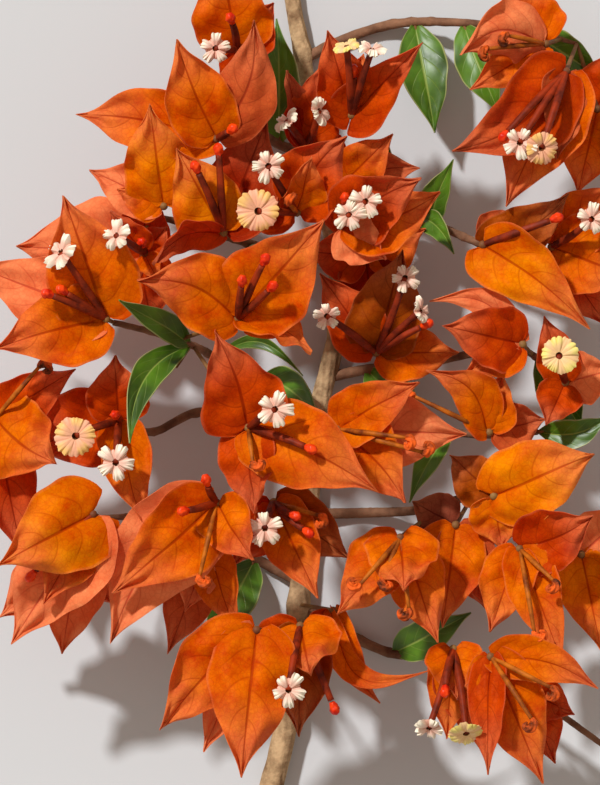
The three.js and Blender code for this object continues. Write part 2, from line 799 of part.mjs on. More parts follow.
// A bloom at its settled height, with its stalk where that has a clear way.
function setBloom(flower, { base }, tracks, placed) {
  const { height, solid } = settle((lift) => flower.translate(0, 0, lift), placed);
  const stalk = makeStalk(new THREE.Vector3(base[0], base[1], base[2] + height), tracks);
  return isClear(stalk, placed) ? oneBody(solid.add(stalk)) : solid;
}

// The first of several ways to make a piece that gives a sound solid, if it can be one without a minute edge.
function firstSound(name, tries) {
  const solids = tries.map((make) => make());
  const sound = solids.filter((solid) => isSound(toGeometry(solid)));
  if (sound.length === 0) throw new Error(`${name} stays unsound at an edge`);
  const shortest = sound.map((solid) => shortestEdge(toGeometry(solid)));
  const limit = SHORTEST_EDGES.find((length) => shortest.some((edge) => edge > length));
  return sound[shortest.findIndex((edge) => edge > limit)];
}

// Builds the stem, the boughs and their leaves, then sets the blooms on them from the lowest up.
function makeBranch() {
  const stemPoints = vectors(STEM_ROUTE);
  const stemRadius = taper(STEM_WIDTH.foot, STEM_WIDTH.top);
  const stemTrack = makeTrack(stemPoints, stemRadius);
  const stem = limb(stemPoints, stemRadius, STEM_SIDES, STEM_ROWS);
  const meshes = [toMesh("main_stem", stem, COLOURS.bark)];

  const boughRadius = taper(BOUGH_WIDTH.foot, BOUGH_WIDTH.tip);
  const boughs = Object.entries(BOUGHS).map(([name, { route, leaves }]) => {
    const points = clearOfStem(vectors(route), stemTrack);
    const wood = limb(points, boughRadius, LIMB_SIDES, LIMB_ROWS);
    return { name, leaves, wood, track: makeTrack(points, boughRadius) };
  });
  const placed = [stem];
  boughs.forEach(({ name, leaves, wood, track }, k) => {
    const others = [...placed, ...boughs.slice(k + 1).map((bough) => bough.wood)];
    const blades = leaves.map((entry) => makeLeaf(entry, track, others));
    const whole = oneBody(wasm.Manifold.union([wood, ...blades]));
    placed.push(whole);
    meshes.push(toMesh(name, whole, COLOURS.twig));
  });

  const tracks = [...stemTrack, ...boughs.flatMap((bough) => bough.track)];
  const lowestFirst = Object.entries(BLOOMS).sort(([, a], [, b]) => a.base[2] - b.base[2]);
  for (const [name, bloom] of lowestFirst) {
    const tries = KNOT_SCALES.flatMap((scale) =>
      TIDY_REACHES.map((reach) => () => setBloom(makeBloom(bloom, scale, reach), bloom, tracks, placed)),
    );
    const whole = firstSound(name, tries);
    placed.push(whole);
    meshes.push(toMesh(name, whole, COLOURS.bract));
  }
  return meshes;
}

// The origin is under the middle of the branch, on the surface that it lies on.
const branch = new THREE.Group();
branch.add(...makeBranch());
const box = new THREE.Box3().setFromObject(branch);
branch.position.set(-0.5 * (box.min.x + box.max.x), -0.5 * (box.min.y + box.max.y), -box.min.z);

export default branch;
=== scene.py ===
import math
import random

import bpy
import numpy as np
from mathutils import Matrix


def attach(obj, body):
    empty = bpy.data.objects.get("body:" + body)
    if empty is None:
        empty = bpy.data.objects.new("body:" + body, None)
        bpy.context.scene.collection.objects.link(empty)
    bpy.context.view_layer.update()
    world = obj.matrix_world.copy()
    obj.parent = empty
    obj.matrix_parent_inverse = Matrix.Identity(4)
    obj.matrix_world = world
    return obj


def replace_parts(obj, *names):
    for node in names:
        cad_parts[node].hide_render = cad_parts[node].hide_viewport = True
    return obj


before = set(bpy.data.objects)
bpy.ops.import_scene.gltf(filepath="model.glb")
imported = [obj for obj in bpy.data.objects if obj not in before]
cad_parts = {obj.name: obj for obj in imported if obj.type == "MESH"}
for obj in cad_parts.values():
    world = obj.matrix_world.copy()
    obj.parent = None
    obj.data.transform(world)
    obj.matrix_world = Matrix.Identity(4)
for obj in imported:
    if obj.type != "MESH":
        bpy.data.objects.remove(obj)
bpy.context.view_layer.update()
bpy.ops.object.select_all(action="DESELECT")
print("frame loaded:", len(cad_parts), "solids")

# The tables below are in millimetres, with x to the right, y up the branch and z up from the floor.
# tableOrigin moves them to where the frame has its own origin.
tableOrigin = np.array((-3.16, -4.58, 0.43))
mm = 0.001

# The camera looks straight down on the branch, as the photograph looks at it. A long lens keeps the sides
# upright. frameHeight and aim are in metres.
view = {"lens": 300, "sensor": 36, "frameHeight": 0.2355, "aim": (-0.0032, -0.0046, 0.05)}
cameraHeight = view["aim"][2] + view["frameHeight"] * view["lens"] / view["sensor"]
bpy.ops.object.camera_add(location=(view["aim"][0], view["aim"][1], cameraHeight), rotation=(0, 0, 0))
camera = bpy.context.object
camera.name = "camera"
camera.data.lens = view["lens"]
camera.data.sensor_width = view["sensor"]
bpy.context.scene.camera = camera


# Makers for the tables' entries.
def bract(tone, x, y, lift, width, **shape):
    return {"tone": tone, "x": x, "y": y, "lift": lift, "width": width, **shape}


def leaf(near, tip, width, **shape):
    return {"near": near, "tip": tip, "width": width, **shape}


def bough(route, *leaves):
    return {"route": route, "leaves": leaves}


def flower(kind, x, y, lift, **shape):
    return {"kind": kind, "x": x, "y": y, "lift": lift, **shape}


def star(x, y, lift, radius, facing=(0, 0), petals="white"):
    return flower("star", x, y, lift, radius=radius, facing=facing, petals=petals)


def bud(x, y, lift):
    return flower("bud", x, y, lift)


def old(x, y, lift):
    return flower("old", x, y, lift)


def bloom(base, bracts, *flowers):
    return {"base": base, "bracts": bracts, "flowers": flowers}


stem = {
    "route": [
        (-9, -122, 3.9), (-4, -100, 3.8), (0, -60, 3.6), (6, -5, 3.4),
        (12, 24, 3.2), (8, 60, 3), (2, 96, 2.8), (-3, 124, 2.7),
    ],
    "width": (7.6, 5.2), "sides": 40, "rows": 260, "bark": 0.22, "inset": 0.25,
    "nodes": (0.09, 0.23, 0.34, 0.47, 0.58, 0.71, 0.83, 0.92),
}

# Each bough: its route from the foot, and the green leaves that stand on it.
boughWood = {"width": (3.4, 1.8), "sides": 16, "rows": 90, "sunk": 1.2, "bark": 0.09}
boughs = {
    "bough_left": bough(
        [(1.5, -6, 5), (-12, 3, 1.8), (-25, 10, 16), (-32, 14, 36), (-44, 18, 45), (-56, 21, 50)],
        leaf((-32, 17, 38), (-56.5, 27.5, 70), 8.5, turn=12),
        leaf((-33, 14, 38), (-52, -17, 64), 9.5, sway=0.15, turn=-10),
        leaf((-25, 10, 18), (1, 5, 32), 4, sway=-0.24),
        leaf((-13, 4, 2), (8, -11, 28), 12, sway=-0.1),
    ),
    "bough_left_low": bough(
        [(1, -22, 5.5), (-14, -14, 1.6), (-30, -6, 6), (-45, -12, 16), (-58, -9, 30), (-70, -8, 38)],
    ),
    "bough_upper_left": bough(
        [(7.5, 40, 5), (-6, 43, 1.7), (-20, 47, 10), (-34, 51, 20), (-46, 54, 28)],
        leaf((-6, 43, 1.8), (-24, 34, 16), 11),
    ),
    "bough_top_left": bough(
        [(4.5, 73, 5), (-6, 76, 1.7), (-14, 82, 10), (-20, 92, 18), (-22, 106, 20)],
        leaf((-6, 76, 1.8), (-7, 114, 12), 13),
    ),
    "bough_top_right": bough(
        [(4, 103, 5), (10, 107, 1.6), (28, 113, 3), (50, 113, 12), (68, 110, 22), (84, 106, 28)],
        leaf((36, 113, 4), (41, 79, 12), 15),
        leaf((50, 113, 12), (61, 84, 20), 13, turn=15),
        leaf((70, 109, 22), (92, 95, 26), 12),
    ),
    "bough_upper_right": bough(
        [
            (13.5, 34, 4.6), (22, 44, 1.5), (36, 53, 12), (46, 49, 20),
            (56, 45, 24), (70, 43, 26), (80, 42, 28),
        ],
        leaf((37, 53, 12), (47, 41.5, 36), 7.5, turn=20, sway=-0.1),
        leaf((30, 50, 8), (26.5, 75, 34), 7),
        leaf((40, 52, 15), (46, 70, 36), 9, turn=-20),
    ),
    "bough_right": bough(
        [(9, 4, 5), (20, 7, 1.4), (38, 9, 8), (54, 12, 20), (67, 13, 28), (78, 6, 32)],
        leaf((20, 7, 1.6), (40, -12, 16), 13),
        leaf((72, 11, 30), (86, -12, 26), 13),
    ),
    "bough_mid_right": bough(
        [(6.5, -16, 5), (24, -14, 1.4), (42, -12, 14), (57, -13, 26), (72, -12, 30)],
        leaf((72, -12, 30), (94, -7, 34), 9, sway=0.12),
        leaf((46, -12, 16), (33, -33, 34), 8, turn=20),
    ),
    "bough_lower_right": bough(
        [(5, -38, 5), (20, -37, 1.4), (36, -36, 10), (52, -32, 18), (66, -33, 22), (80, -38, 26)],
    ),
    "bough_bottom_right": bough(
        [
            (2, -66, 5.5), (14, -74, 1.4), (28, -80, 4), (46, -81, 16),
            (60, -85, 26), (78, -97, 28), (92, -107, 28),
        ],
        leaf((28, -80, 4), (52, -67, 22), 12),
    ),
    "bough_lower_left": bough(
        [(-3.5, -58, 5.5), (-14, -51, 1.4), (-30, -43, 10), (-46, -38, 22), (-60, -38, 32)],
        leaf((-14, -51, 1.6), (-29, -80, 16), 14),
    ),
}

# Each bloom: where its three bracts meet, each bract's tip and tone, and the flowers between them. A bract's
# tone also carries painted light: a darker tone is painted shade for a bract that lies in shade, and amber is
# painted sunlight for one the sun shines through.
blooms = {
    "bloom_left_a": bloom((-58, 22, 58), [
        bract("orange", -70.5, 58.5, 8, 29, cup=0.12),
        bract("orange", -91, 13, 5, 24, cup=0.2, sway=0.02),
        bract("salmon", -98, 38, -13, 25, turn=10),
    ], star(-71, 41.5, 13, 5.5, (-0.5, 0.3)), bud(-77, 30, 12), bud(-72.5, 31.5, 11)),
    "bloom_left_b": bloom((-49, 42, 30), [
        bract("salmon", -86, 44, 6, 32, cup=-0.1),
        bract("shadedRed", -45, 61, 2, 17),
        bract("shadedRed", -45, 20, -5, 19),
    ]),
    "bloom_left_c": bloom((-47, 42, 42), [
        bract("shadedRed", -57, 54.5, 6, 12, turn=-15),
        bract("orange", -43, 34, 3, 8),
        bract("shadedRed", -40, 50, 0, 10),
    ], bud(-47.5, 46, 8), star(-54.5, 46.5, 26, 4.6, (-0.4, 0.2))),
    "bloom_upper_left_a": bloom((-41, 56, 46), [
        bract("sunlitAmber", -45, 86.5, 10, 22, cup=-0.1, turn=-5),
        bract("salmon", -63.5, 67, -6, 16, turn=10),
        bract("orange", -55, 61, 1, 13),
    ]),
    "bloom_upper_left_b": bloom((-23, 48, 46), [
        bract("sunlitAmber", -37, 73, 6, 22, turn=-5, cup=0.1),
        bract("deepShadeCrimson", -10, 82, -5, 24, cup=0.2),
        bract("shadedRed", -44, 38, 3, 14, turn=-50, sway=0.35),
    ], bud(-32, 69, 14), bud(-24.5, 74.5, 13)),
    "bloom_upper_left_c": bloom((-25, 76, 52), [
        bract("orange", -37, 105.5, 9, 21, cup=0.15, sway=-0.03),
        bract("rustShade", -14, 111.5, 3, 20, cup=-0.2, bow=0.1, sway=0.12),
        bract("orange", -67, 83.5, -13, 20, sway=0.04, crown=1),
    ], bud(-19, 79.5, 8)),
    "bloom_top_left": bloom((-19, 104, 30), [
        bract("orange", -24, 132, 8, 24),
        bract("shadedRed", -8, 118, 1, 17),
        bract("shadedRed", -14, 88, -6, 15),
    ], star(-25.5, 103.5, 14, 4.5), bud(-21.5, 114, 14)),
    "bloom_top_a": bloom((2, 74, 34), [
        bract("deepShadeCrimson", -5, 97, 5, 13, turn=40),
        bract("shadedRed", 8, 101, 1, 17),
        bract("shadedRed", 15, 67, -6, 17),
    ], star(-4, 81.5, 12, 4.5, (-0.6, 0.6)), star(5.5, 84.5, 13, 4.6, (0.7, 0.2))),
    "bloom_top_b": bloom((15.5, 83.5, 40), [
        bract("shadedRed", 8, 109, 5, 17, lobe=0.12),
        bract("shadedRed", 37, 105, 9, 17, lobe=0.12, crown=0.48),
        bract("orange", 19, 102, -4, 17),
    ],
        star(14, 103.5, 14, 4, (-0.2, 0.8), petals="yellow"),
        star(21.5, 102.5, 14, 4.2, (0.2, 0.8)),
        bud(16, 98.5, 10),
    ),
    "bloom_upper_right_a": bloom((12, 50, 50), [
        bract("shadedRed", 36, 63.5, 8, 22, sway=-0.06, turn=10),
        bract("orange", 42, 60, -1, 22, sway=0.1, turn=-10),
        bract("salmon", 26, 40, 3, 17, turn=20),
    ], star(14.5, 53, 12, 4.8), star(19.5, 57, 12, 4.9), bud(13.5, 59.5, 11)),
    "bloom_upper_right_b": bloom((11, 61, 34), [
        bract("orange", 28, 78, 5, 17),
        bract("rustShade", 36, 68, -3, 17, sway=-0.1),
        bract("shadedRed", 24, 44, -6, 17),
    ]),
    "bloom_upper_right_c": bloom((20, 41, 24), [
        bract("shadedRed", 2, 43, 2, 17),
        bract("orange", 38, 50, 0, 18),
        bract("deepShadeCrimson", 22, 22, -2, 18),
    ]),
    "bloom_upper_left_d": bloom((-1, 54, 46), [
        bract("shadedRed", 14, 77, 3, 22, cup=0.2, sway=-0.1),
        bract("orange", 3, 71, 10, 14, turn=25),
        bract("shadedRed", -21, 60, -6, 18),
    ], star(-9.5, 67.5, 15, 5), star(-12.5, 54, 13, 6.2, petals="cream"), old(-3.5, 56.5, 10)),
    "bloom_centre_a": bloom((-18.5, 22, 62), [
        bract("orange", -48.5, 33.5, 6, 24, cup=-0.12, bow=0.1, sway=0.14),
        bract("orange", 7, 51, 9, 28, cup=0.12),
        bract("orange", 3.5, 12, 2, 18, turn=-50, sway=-0.12),
    ], bud(-17, 34.5, 16), bud(-9.5, 41, 16), bud(-7, 32.5, 16)),
    "bloom_centre_b": bloom((-15.5, -10.5, 60), [
        bract("shadedRed", -25.5, 18, 8, 26, cup=0.12, turn=-10, sway=0.06, crown=0.62),
        bract("orange", 23, -29.5, 10, 26, cup=-0.1, bow=0.1, sway=-0.04),
        bract("shadedRed", -13, -36, 1, 19, turn=26),
    ], star(-7.5, -5, 15, 5.4), bud(5, -17.5, 14), old(-14, -21, 9)),
    "bloom_centre_c": bloom((-8, -33, 44), [
        bract("orange", 5.5, -62, 5, 18, cup=0.2),
        bract("umberShade", 15, -50, -2, 19),
        bract("shadedRed", -20, -52, -7, 18),
    ], star(-10.5, -40.5, 16, 5.3), bud(0, -37.5, 12), bud(4, -43, 12), old(6, -37, 8)),
    "bloom_lower_left_a": bloom((-25, -33, 54), [
        bract("orange", -56, -60, 4, 25, cup=0.15, turn=-10),
        bract("salmon", -57, -75, -8, 30, cup=0.1, sway=0.1),
        bract("orange", -14, -50, 9, 18, turn=15),
    ], bud(-28.5, -24.5, 10), bud(-36.5, -35.5, 12), old(-30, -55, 8)),
    "bloom_lower_left_b": bloom((-27.5, -46.4, 42), [
        bract("orange", -19, -73, 4, 14, turn=15),
        bract("salmon", -34.5, -66, 0, 14),
        bract("rustShade", -40, -79, -7, 17),
    ]),
    "bloom_left_d": bloom((-62, -36.5, 54), [
        bract("sunlitAmber", -90, -51.5, 8, 29, cup=-0.15, bow=0.12, lobe=0.16, crown=0.62),
        bract("orange", -77, -63, -3, 19, turn=-10),
        bract("salmon", -86.5, -75, -12, 28),
    ], bud(-82, -56.5, 1)),
    "bloom_left_e": bloom((-67, -50, 36), [
        bract("salmon", -72, -79, 0, 20),
        bract("salmon", -91, -68, -6, 22),
        bract("shadedRed", -57, -64, -6, 17),
    ]),
    "bloom_left_f": bloom((-54.5, -8.5, 50), [
        bract("shadedRed", -81, -18, -10, 25, cup=0.15, sway=0.06),
        bract("shadedRed", -55.5, 11, 5, 19),
        bract("orange", -47, -40, 6, 16, turn=-15, sway=0.04),
    ], star(-67, -13, 12, 6, petals="cream"), star(-55, -21, 15, 5.4), bud(-56, -6.5, 9)),
    "bloom_left_g": bloom((-92, -8, 42), [
        bract("orange", -72.5, -21.5, 11, 26, cup=-0.1, sway=0.06),
        bract("shadedRed", -67.5, 7, 2, 16),
        bract("shadedRed", -84, -50, -8, 20),
    ], old(-78, 8, 8)),
    "bloom_top_right_a": bloom((74, 105, 42), [
        bract("salmon", 47.5, 101.5, 8, 20, cup=-0.2, turn=-10, sway=0.22),
        bract("orange", 51, 91, 2, 15),
        bract("orange", 63, 122, -3, 20),
    ], old(56, 103, 9), old(62, 107, 10)),
    "bloom_top_right_b": bloom((80, 96.5, 46), [
        bract("shadedRed", 45, 72, 8, 25, cup=0.15, sway=-0.12),
        bract("orange", 62, 56, -3, 26, cup=0.2),
        bract("rustShade", 77, 70, 3, 16, turn=-15),
    ], star(65.5, 74.5, 15, 4.8), star(72, 73, 15, 5, (0.2, -0.2), petals="cream"), bud(59.5, 75, 13)),
    "bloom_right_a": bloom((55, 44.5, 42), [
        bract("sunlitAmber", 87, 19, 6, 22, cup=0.2, turn=10, sway=-0.05, crown=0.52),
        bract("umberShade", 81, 60, -4, 16, sway=0.1),
        bract("rustShade", 66, 55, -8, 13),
    ], bud(79, 53, 8)),
    "bloom_right_b": bloom((76, 44, 34), [
        bract("orange", 101, 34, 6, 25, cup=0.2),
        bract("orange", 98, 63, 0, 20),
        bract("shadedRed", 93, 20, -4, 18),
    ], star(87.5, 52, 14, 4.6)),
    "bloom_right_f": bloom((90, 86, 30), [
        bract("orange", 84, 60, 3, 20),
        bract("orange", 106, 76, -2, 19),
        bract("shadedRed", 99, 105, -4, 18),
    ]),
    "bloom_right_c": bloom((67, 14.5, 44), [
        bract("shadedRed", 43, 20, 6, 20),
        bract("orange", 50, 6, -1, 16, turn=15),
        bract("salmon", 39, 27.5, -3, 10, sway=0.22),
    ]),
    "bloom_right_d": bloom((23, 12, 32), [
        bract("umberShade", 31, 43, 4, 23, cup=0.1),
        bract("shadedRed", 6, 36, -2, 18),
        bract("orange", 48, 12, -5, 18),
    ], star(31.5, 34.5, 14, 4.2), star(36, 24.5, 13, 4, (0.7, 0.2)), star(8, 23, 12, 4), bud(40, 21.5, 12)),
    "bloom_centre_right_a": bloom((11, -11, 48), [
        bract("orange", 36, 3, 9, 18, cup=0.25, turn=-15),
        bract("salmon", 50, -12.5, -1, 25, cup=0.1),
        bract("orange", 32, -33, 6, 22, turn=5, sway=-0.07),
    ], old(32, -13.5, 12), old(37, -18, 10)),
    "bloom_centre_right_b": bloom((57, -12, 38), [
        bract("orange", 38, 6.5, 8, 15, sway=0.2),
        bract("orange", 61, 6, 2, 14),
        bract("rustShade", 74, -8, -4, 16),
    ], old(34, -1, 6)),
    "bloom_lower_right_a": bloom((58.4, -31.2, 42), [
        bract("sunlitAmber", 88, -18.5, 8, 25, cup=-0.14, bow=0.12, lobe=0.1, crown=0.92),
        bract("umberShade", 46, -19, -7, 16, turn=-10),
        bract("sunlitAmber", 61, -47, -4, 17, turn=8),
    ]),
    "bloom_right_e": bloom((80, 3, 38), [
        bract("shadedRed", 73.5, 23, 3, 13),
        bract("salmon", 95, 7, 0, 16),
        bract("shadedRed", 74, -10, 4, 14),
    ], star(77.5, 11, 15, 5.6, petals="yellow")),
    "bloom_lower_right_b": bloom((66, -47, 46), [
        bract("orange", 79, -82, 7, 16, cup=0.15),
        bract("orange", 57, -72, 2, 17, turn=15),
        bract("shadedRed", 88, -37, 4, 20, cup=0.3, sway=0.06),
    ], old(70, -72, 12), old(76, -56.5, 12)),
    "bloom_lower_right_c": bloom((85, -49, 34), [
        bract("sunlitAmber", 91, -78, 4, 18),
        bract("salmon", 99, -36, 0, 20),
        bract("orange", 104, -62, -4, 20),
    ]),
    "bloom_bottom_right_a": bloom((57, -79, 56), [
        bract("shadedRed", 56, -114, 6, 12, turn=20),
        bract("orange", 72.5, -117, -3, 21, cup=0.15),
        bract("orange", 89, -88.5, 2, 14, sway=-0.1),
    ], old(69, -97.5, 13), old(75, -88, 10)),
    "bloom_bottom_right_b": bloom((46, -77, 48), [
        bract("orange", 44, -104, -3, 15),
        bract("shadedRed", 54, -107, -8, 17),
        bract("orange", 47, -92, 9, 17, lobe=0.15),
    ],
        star(38.5, -100, 13, 4.6, (-0.1, -0.6)),
        star(49.5, -101.5, 15, 5, (0.1, -0.6), petals="yellow"),
        bud(43, -91, 13),
    ),
    "bloom_bottom_right_c": bloom((68, -90, 36), [
        bract("shadedRed", 83, -97, 4, 14),
        bract("shadedRed", 77, -112, 2, 16),
        bract("orange", 62, -108, -4, 15),
    ]),
    "bloom_lower_centre_a": bloom((30, -43.5, 52), [
        bract("orange", 11.5, -67, 2, 20, cup=-0.1, turn=15),
        bract("orange", 41, -75, 2, 19, cup=-0.1, turn=-12),
        bract("orange", 31, -59, 12, 22, cup=-0.1, lobe=0.25),
    ], old(17.6, -57.5, 10), old(24.5, -56, 8), old(32.5, -65, 8)),
    "bloom_lower_right_d": bloom((47, -40, 36), [
        bract("orange", 43, -71, 4, 21, cup=0.1),
        bract("rustShade", 57, -66, -2, 18),
        bract("duskyShade", 34, -33, -4, 15),
    ]),
    "bloom_bottom_a": bloom((-13, -71, 56), [
        bract("orange", -42, -101, -3, 24, cup=0.1, sway=0.04),
        bract("orange", -17.5, -114.5, 8, 26, cup=-0.15, bow=0.08),
        bract("salmon", -29, -107, -12, 19),
    ]),
    "bloom_bottom_b": bloom((0, -70, 50), [
        bract("umberShade", -0.5, -103, -3, 20),
        bract("orange", 3, -84, 12, 23, cup=-0.1, lobe=0.22),
        bract("shadedRed", -17, -84, -2, 16),
    ], star(-3.5, -88.5, 17, 5), bud(11, -96.5, 4)),
    "bloom_lower_centre_b": bloom((10, -66, 34), [
        bract("orange", 40.5, -84, 6, 9, sway=0.42, turn=-20),
        bract("orange", 24, -94, 1, 11, sway=0.1),
        bract("shadedRed", 5, -84, -4, 14),
    ]),
}

# Bracts and leaves are thin sheets. lobe and bow are shares of a blade's length, cup and midrib are shares of
# its half width, and sheet, groove, quilt, ripple and waves are in millimetres.
bractForm = {
    "rows": 34, "columns": 25, "sheet": 0.2, "lobe": 0.11, "baseWidth": 0.16, "crown": 0.75,
    "bow": 0.06, "cup": 0.22, "groove": 0.4, "quilt": 0.42, "ripple": 1.0, "waves": 0.8, "veins": 5,
    "midrib": 0.055,
}
leafForm = {
    "rows": 34, "columns": 17, "sheet": 0.3, "lobe": 0.0, "baseWidth": 0.04, "crown": 0.9,
    "bow": 0.1, "cup": 0.25, "groove": 0.5, "quilt": 0.25, "ripple": 0.5, "waves": 0.3, "veins": 6,
    "midrib": 0.09,
}
# Side veins arch towards the tip, and those of one half stand between those of the other.
veinRun = {"stretch": 1.25, "arch": 1.25, "lean": 0.28, "stagger": 0.45}
bractFoot = 1.3  # from the middle of the knot to a bract's foot
bractSpread = 0.06  # share of a tip's lift by which its foot is raised
anyTurn = 6.28  # about a full turn: a chance start is a share of it
random.seed(11)


def unit(vector):
    return vector / np.linalg.norm(vector)


def turnsRound(sides):
    return np.linspace(0, 2 * math.pi, sides, endpoint=False)


def smoothStep(low, high, value):
    share = np.clip((value - low) / (high - low), 0, 1)
    return share * share * (3 - 2 * share)


# A smooth line through a few points, cut into equal lengths.
def smoothLine(route, count, steps=40):
    points = np.array(route, float)
    points = np.vstack((2 * points[0] - points[1], points, 2 * points[-1] - points[-2]))
    line = []
    for p0, p1, p2, p3 in zip(points, points[1:], points[2:], points[3:]):
        d0, d1, d2 = (math.sqrt(np.linalg.norm(b - a)) for a, b in ((p0, p1), (p1, p2), (p2, p3)))
        out = ((p1 - p0) / d0 - (p2 - p0) / (d0 + d1) + (p2 - p1) / d1) * d1
        into = ((p2 - p1) / d1 - (p3 - p1) / (d1 + d2) + (p3 - p2) / d2) * d1
        for t in np.linspace(0, 1, steps, endpoint=False):
            square, cube = t * t, t * t * t
            bend = (-3 * p1 + 3 * p2 - 2 * out - into) * square
            line.append(p1 + out * t + bend + (2 * p1 - 2 * p2 + out + into) * cube)
    line = np.array(line + [points[-2]])
    lengths = np.concatenate(((0,), np.cumsum(np.linalg.norm(np.diff(line, axis=0), axis=1))))
    places = np.linspace(0, lengths[-1], count)
    return np.stack([np.interp(places, lengths, line[:, k]) for k in range(3)], axis=1)


# Rings round a line. radius has one number for each ring, or one for each point.
def rings(line, radius, sides):
    tangents = np.gradient(line, axis=0)
    tangents /= np.linalg.norm(tangents, axis=1)[:, None]
    side = unit(np.cross(tangents[0], (0.3, 0.2, 1.0)))
    turns = turnsRound(sides)
    radius = np.broadcast_to(radius.reshape(len(line), -1), (len(line), sides))
    out = []
    for k, tangent in enumerate(tangents):
        side = unit(side - tangent * side.dot(tangent))
        other = np.cross(tangent, side)
        around = np.cos(turns)[:, None] * side + np.sin(turns)[:, None] * other
        out.append(line[k] + radius[k][:, None] * around)
    return np.array(out)


# A mesh in the making: points, faces, the pattern place of each corner, and each face's material.
def newShape():
    return {"points": [], "faces": [], "corners": [], "slots": [], "count": 0}


# A grid of points, open or closed round its rows, all in one material.
def addGrid(shape, grid, slot, closed=False):
    rows, columns = grid.shape[:2]
    index = shape["count"] + np.arange(rows * columns).reshape(rows, columns)
    if closed:
        index = np.hstack((index, index[:, :1]))
    across, along = np.meshgrid(np.linspace(0, 1, index.shape[1]), np.linspace(0, 1, rows))
    faces, corners = (
        np.stack((table[:-1, :-1], table[:-1, 1:], table[1:, 1:], table[1:, :-1]), axis=2)
        for table in (index, np.stack((along, across), axis=-1))
    )
    faces = faces.reshape(-1, 4).tolist()
    shape["points"].append(grid.reshape(-1, 3))
    shape["faces"] += faces
    shape["corners"].append(corners.reshape(-1, 2))
    shape["slots"] += [slot] * len(faces)
    shape["count"] += rows * columns


# A closed round piece: its rings, and a fan of triangles over each end.
def addRound(shape, grid, slot):
    base = shape["count"]
    addGrid(shape, grid, slot, closed=True)
    sides = grid.shape[1]
    for ring, first, share in ((grid[0], base, 0), (grid[-1], base + sides * (len(grid) - 1), 1)):
        fan = [(first + k, first + (k + 1) % sides, shape["count"]) for k in range(sides)]
        if not share:
            fan = [(b, a, c) for a, b, c in fan]
        shape["points"].append(ring.mean(axis=0)[None, :])
        shape["faces"] += fan
        shape["corners"].append(np.full((3 * sides, 2), (share, 0.5)))
        shape["slots"] += [slot] * sides
        shape["count"] += 1


# The thin sheet of a bract or leaf from its foot to its pointed tip, folded, quilted and rippled at its edge.
def bladeGrid(foot, tip, entry, form):
    length = np.linalg.norm(tip - foot)
    along = (tip - foot) / length
    face = unit(np.array((0, 0, 1.0)) - along * along[2])
    across = np.cross(along, face)
    turn = math.radians(entry.get("turn", 0))
    face = face * math.cos(turn) + across * math.sin(turn)
    across = np.cross(along, face)
    v = (np.linspace(0, 1, form["rows"]) ** veinRun["stretch"])[:, None]
    s = np.linspace(-1, 1, form["columns"])[None, :]
    edge = np.abs(s)
    chance = [random.random() for _ in range(12)]
    fullness = min(1, entry["width"] / 22) ** 1.3

    # Its outline.
    crown = entry.get("crown", form["crown"])
    bulge = np.sin(math.pi * (form["baseWidth"] + (1 - form["baseWidth"]) * v**crown))
    corner = 0.25 + 0.75 * np.sqrt(1 - (1 - np.minimum(v / 0.14, 1)) ** 2)
    narrowing = (1 - 0.2 * v**3) * (1 - 0.35 * smoothStep(0.7, 1, v))
    half = 0.5 * entry["width"] * np.clip(bulge, 0, 1) * corner * narrowing + 0.12
    phase = np.where(s > 0, chance[0], chance[1])
    uneven = 1 + 0.04 * np.sin(2 * math.pi * (1.7 * v + phase))
    uneven = uneven + 0.02 * np.sin(2 * math.pi * (4.3 * v + 3 * phase))
    sideways = s * half * uneven
    arch = np.sin(math.pi * v)
    outward = np.clip(edge * half / (0.22 * entry["width"]), 0, 1)
    lobe = (form["lobe"] + entry.get("lobe", 0)) * length * (1 - v) ** 3 * np.sin(0.5 * math.pi * outward)

    # Its relief: bow and cup, the midrib's groove, swellings between side veins, slow waves, rippled edge.
    raised = entry.get("bow", form["bow"]) * length * arch + entry.get("cup", form["cup"]) * half * s**2
    raised = raised - form["groove"] * np.exp(-((sideways / 0.7) ** 2)) * (1 - v) ** 0.3
    veinPhase = form["veins"] * (v - veinRun["lean"] * edge ** veinRun["arch"]) + veinRun["stagger"] * (s > 0)
    raised = raised - fullness * form["quilt"] * np.cos(2 * math.pi * veinPhase) * 2 * edge * (1 - edge)
    for k, (runs, crosses) in enumerate(((1.3, 0.5), (2.1, -0.8), (0.7, 1.2))):
        wave = np.sin(2 * math.pi * (runs * v + crosses * s + chance[2 + k]))
        raised = raised + fullness * form["waves"] * (0.35 + 0.65 * edge) * wave * np.minimum(1, 3 * v)
    ripples = np.sin(2 * math.pi * (3.2 * v + np.where(s > 0, chance[6], chance[7])))
    raised = raised + fullness * form["ripple"] * edge**3 * ripples * np.sqrt(np.clip(arch, 0, 1))

    # The curl of its tip, and its twist.
    raised = raised + (0.9 * chance[8] - 0.25) * length * 0.9 * np.clip(v - 0.6, 0, 1) ** 2
    twist = math.radians(24 * chance[9] - 12) * (v - 0.2)
    cos, sin = np.cos(twist), np.sin(twist)
    sideways, raised = sideways * cos - raised * sin, sideways * sin + raised * cos
    sideways = sideways + entry.get("sway", 0) * length * arch
    middle = foot + (v * length - lobe)[..., None] * along
    return middle + sideways[..., None] * across + raised[..., None] * face


# An open flower: five spoon-shaped lobes with a pleated web between each two, round a sunken throat. In an
# aged one the webs reach as far out as the lobes.
starRows = np.array((0, 0.06, 0.12, 0.2, 0.32, 0.45, 0.58, 0.7, 0.8, 0.88, 0.95, 1))
throatRows = 3
starSides = 120
starForms = {
    "fresh": {"pleats": 8, "frills": 23, "dip": 0, "web": 0.32, "notch": 0.06, "frill": 1, "length": 0.09,
              "ridge": 0.75, "crease": 1.2, "pleat": 0.08, "ruffle": 11},
    "aged": {"pleats": 4, "frills": 21, "dip": 0.06, "web": 0, "notch": 0.04, "frill": 0.9, "length": 0.07,
             "ridge": 0.4, "crease": 0.45, "pleat": 0.05, "ruffle": 5},
}


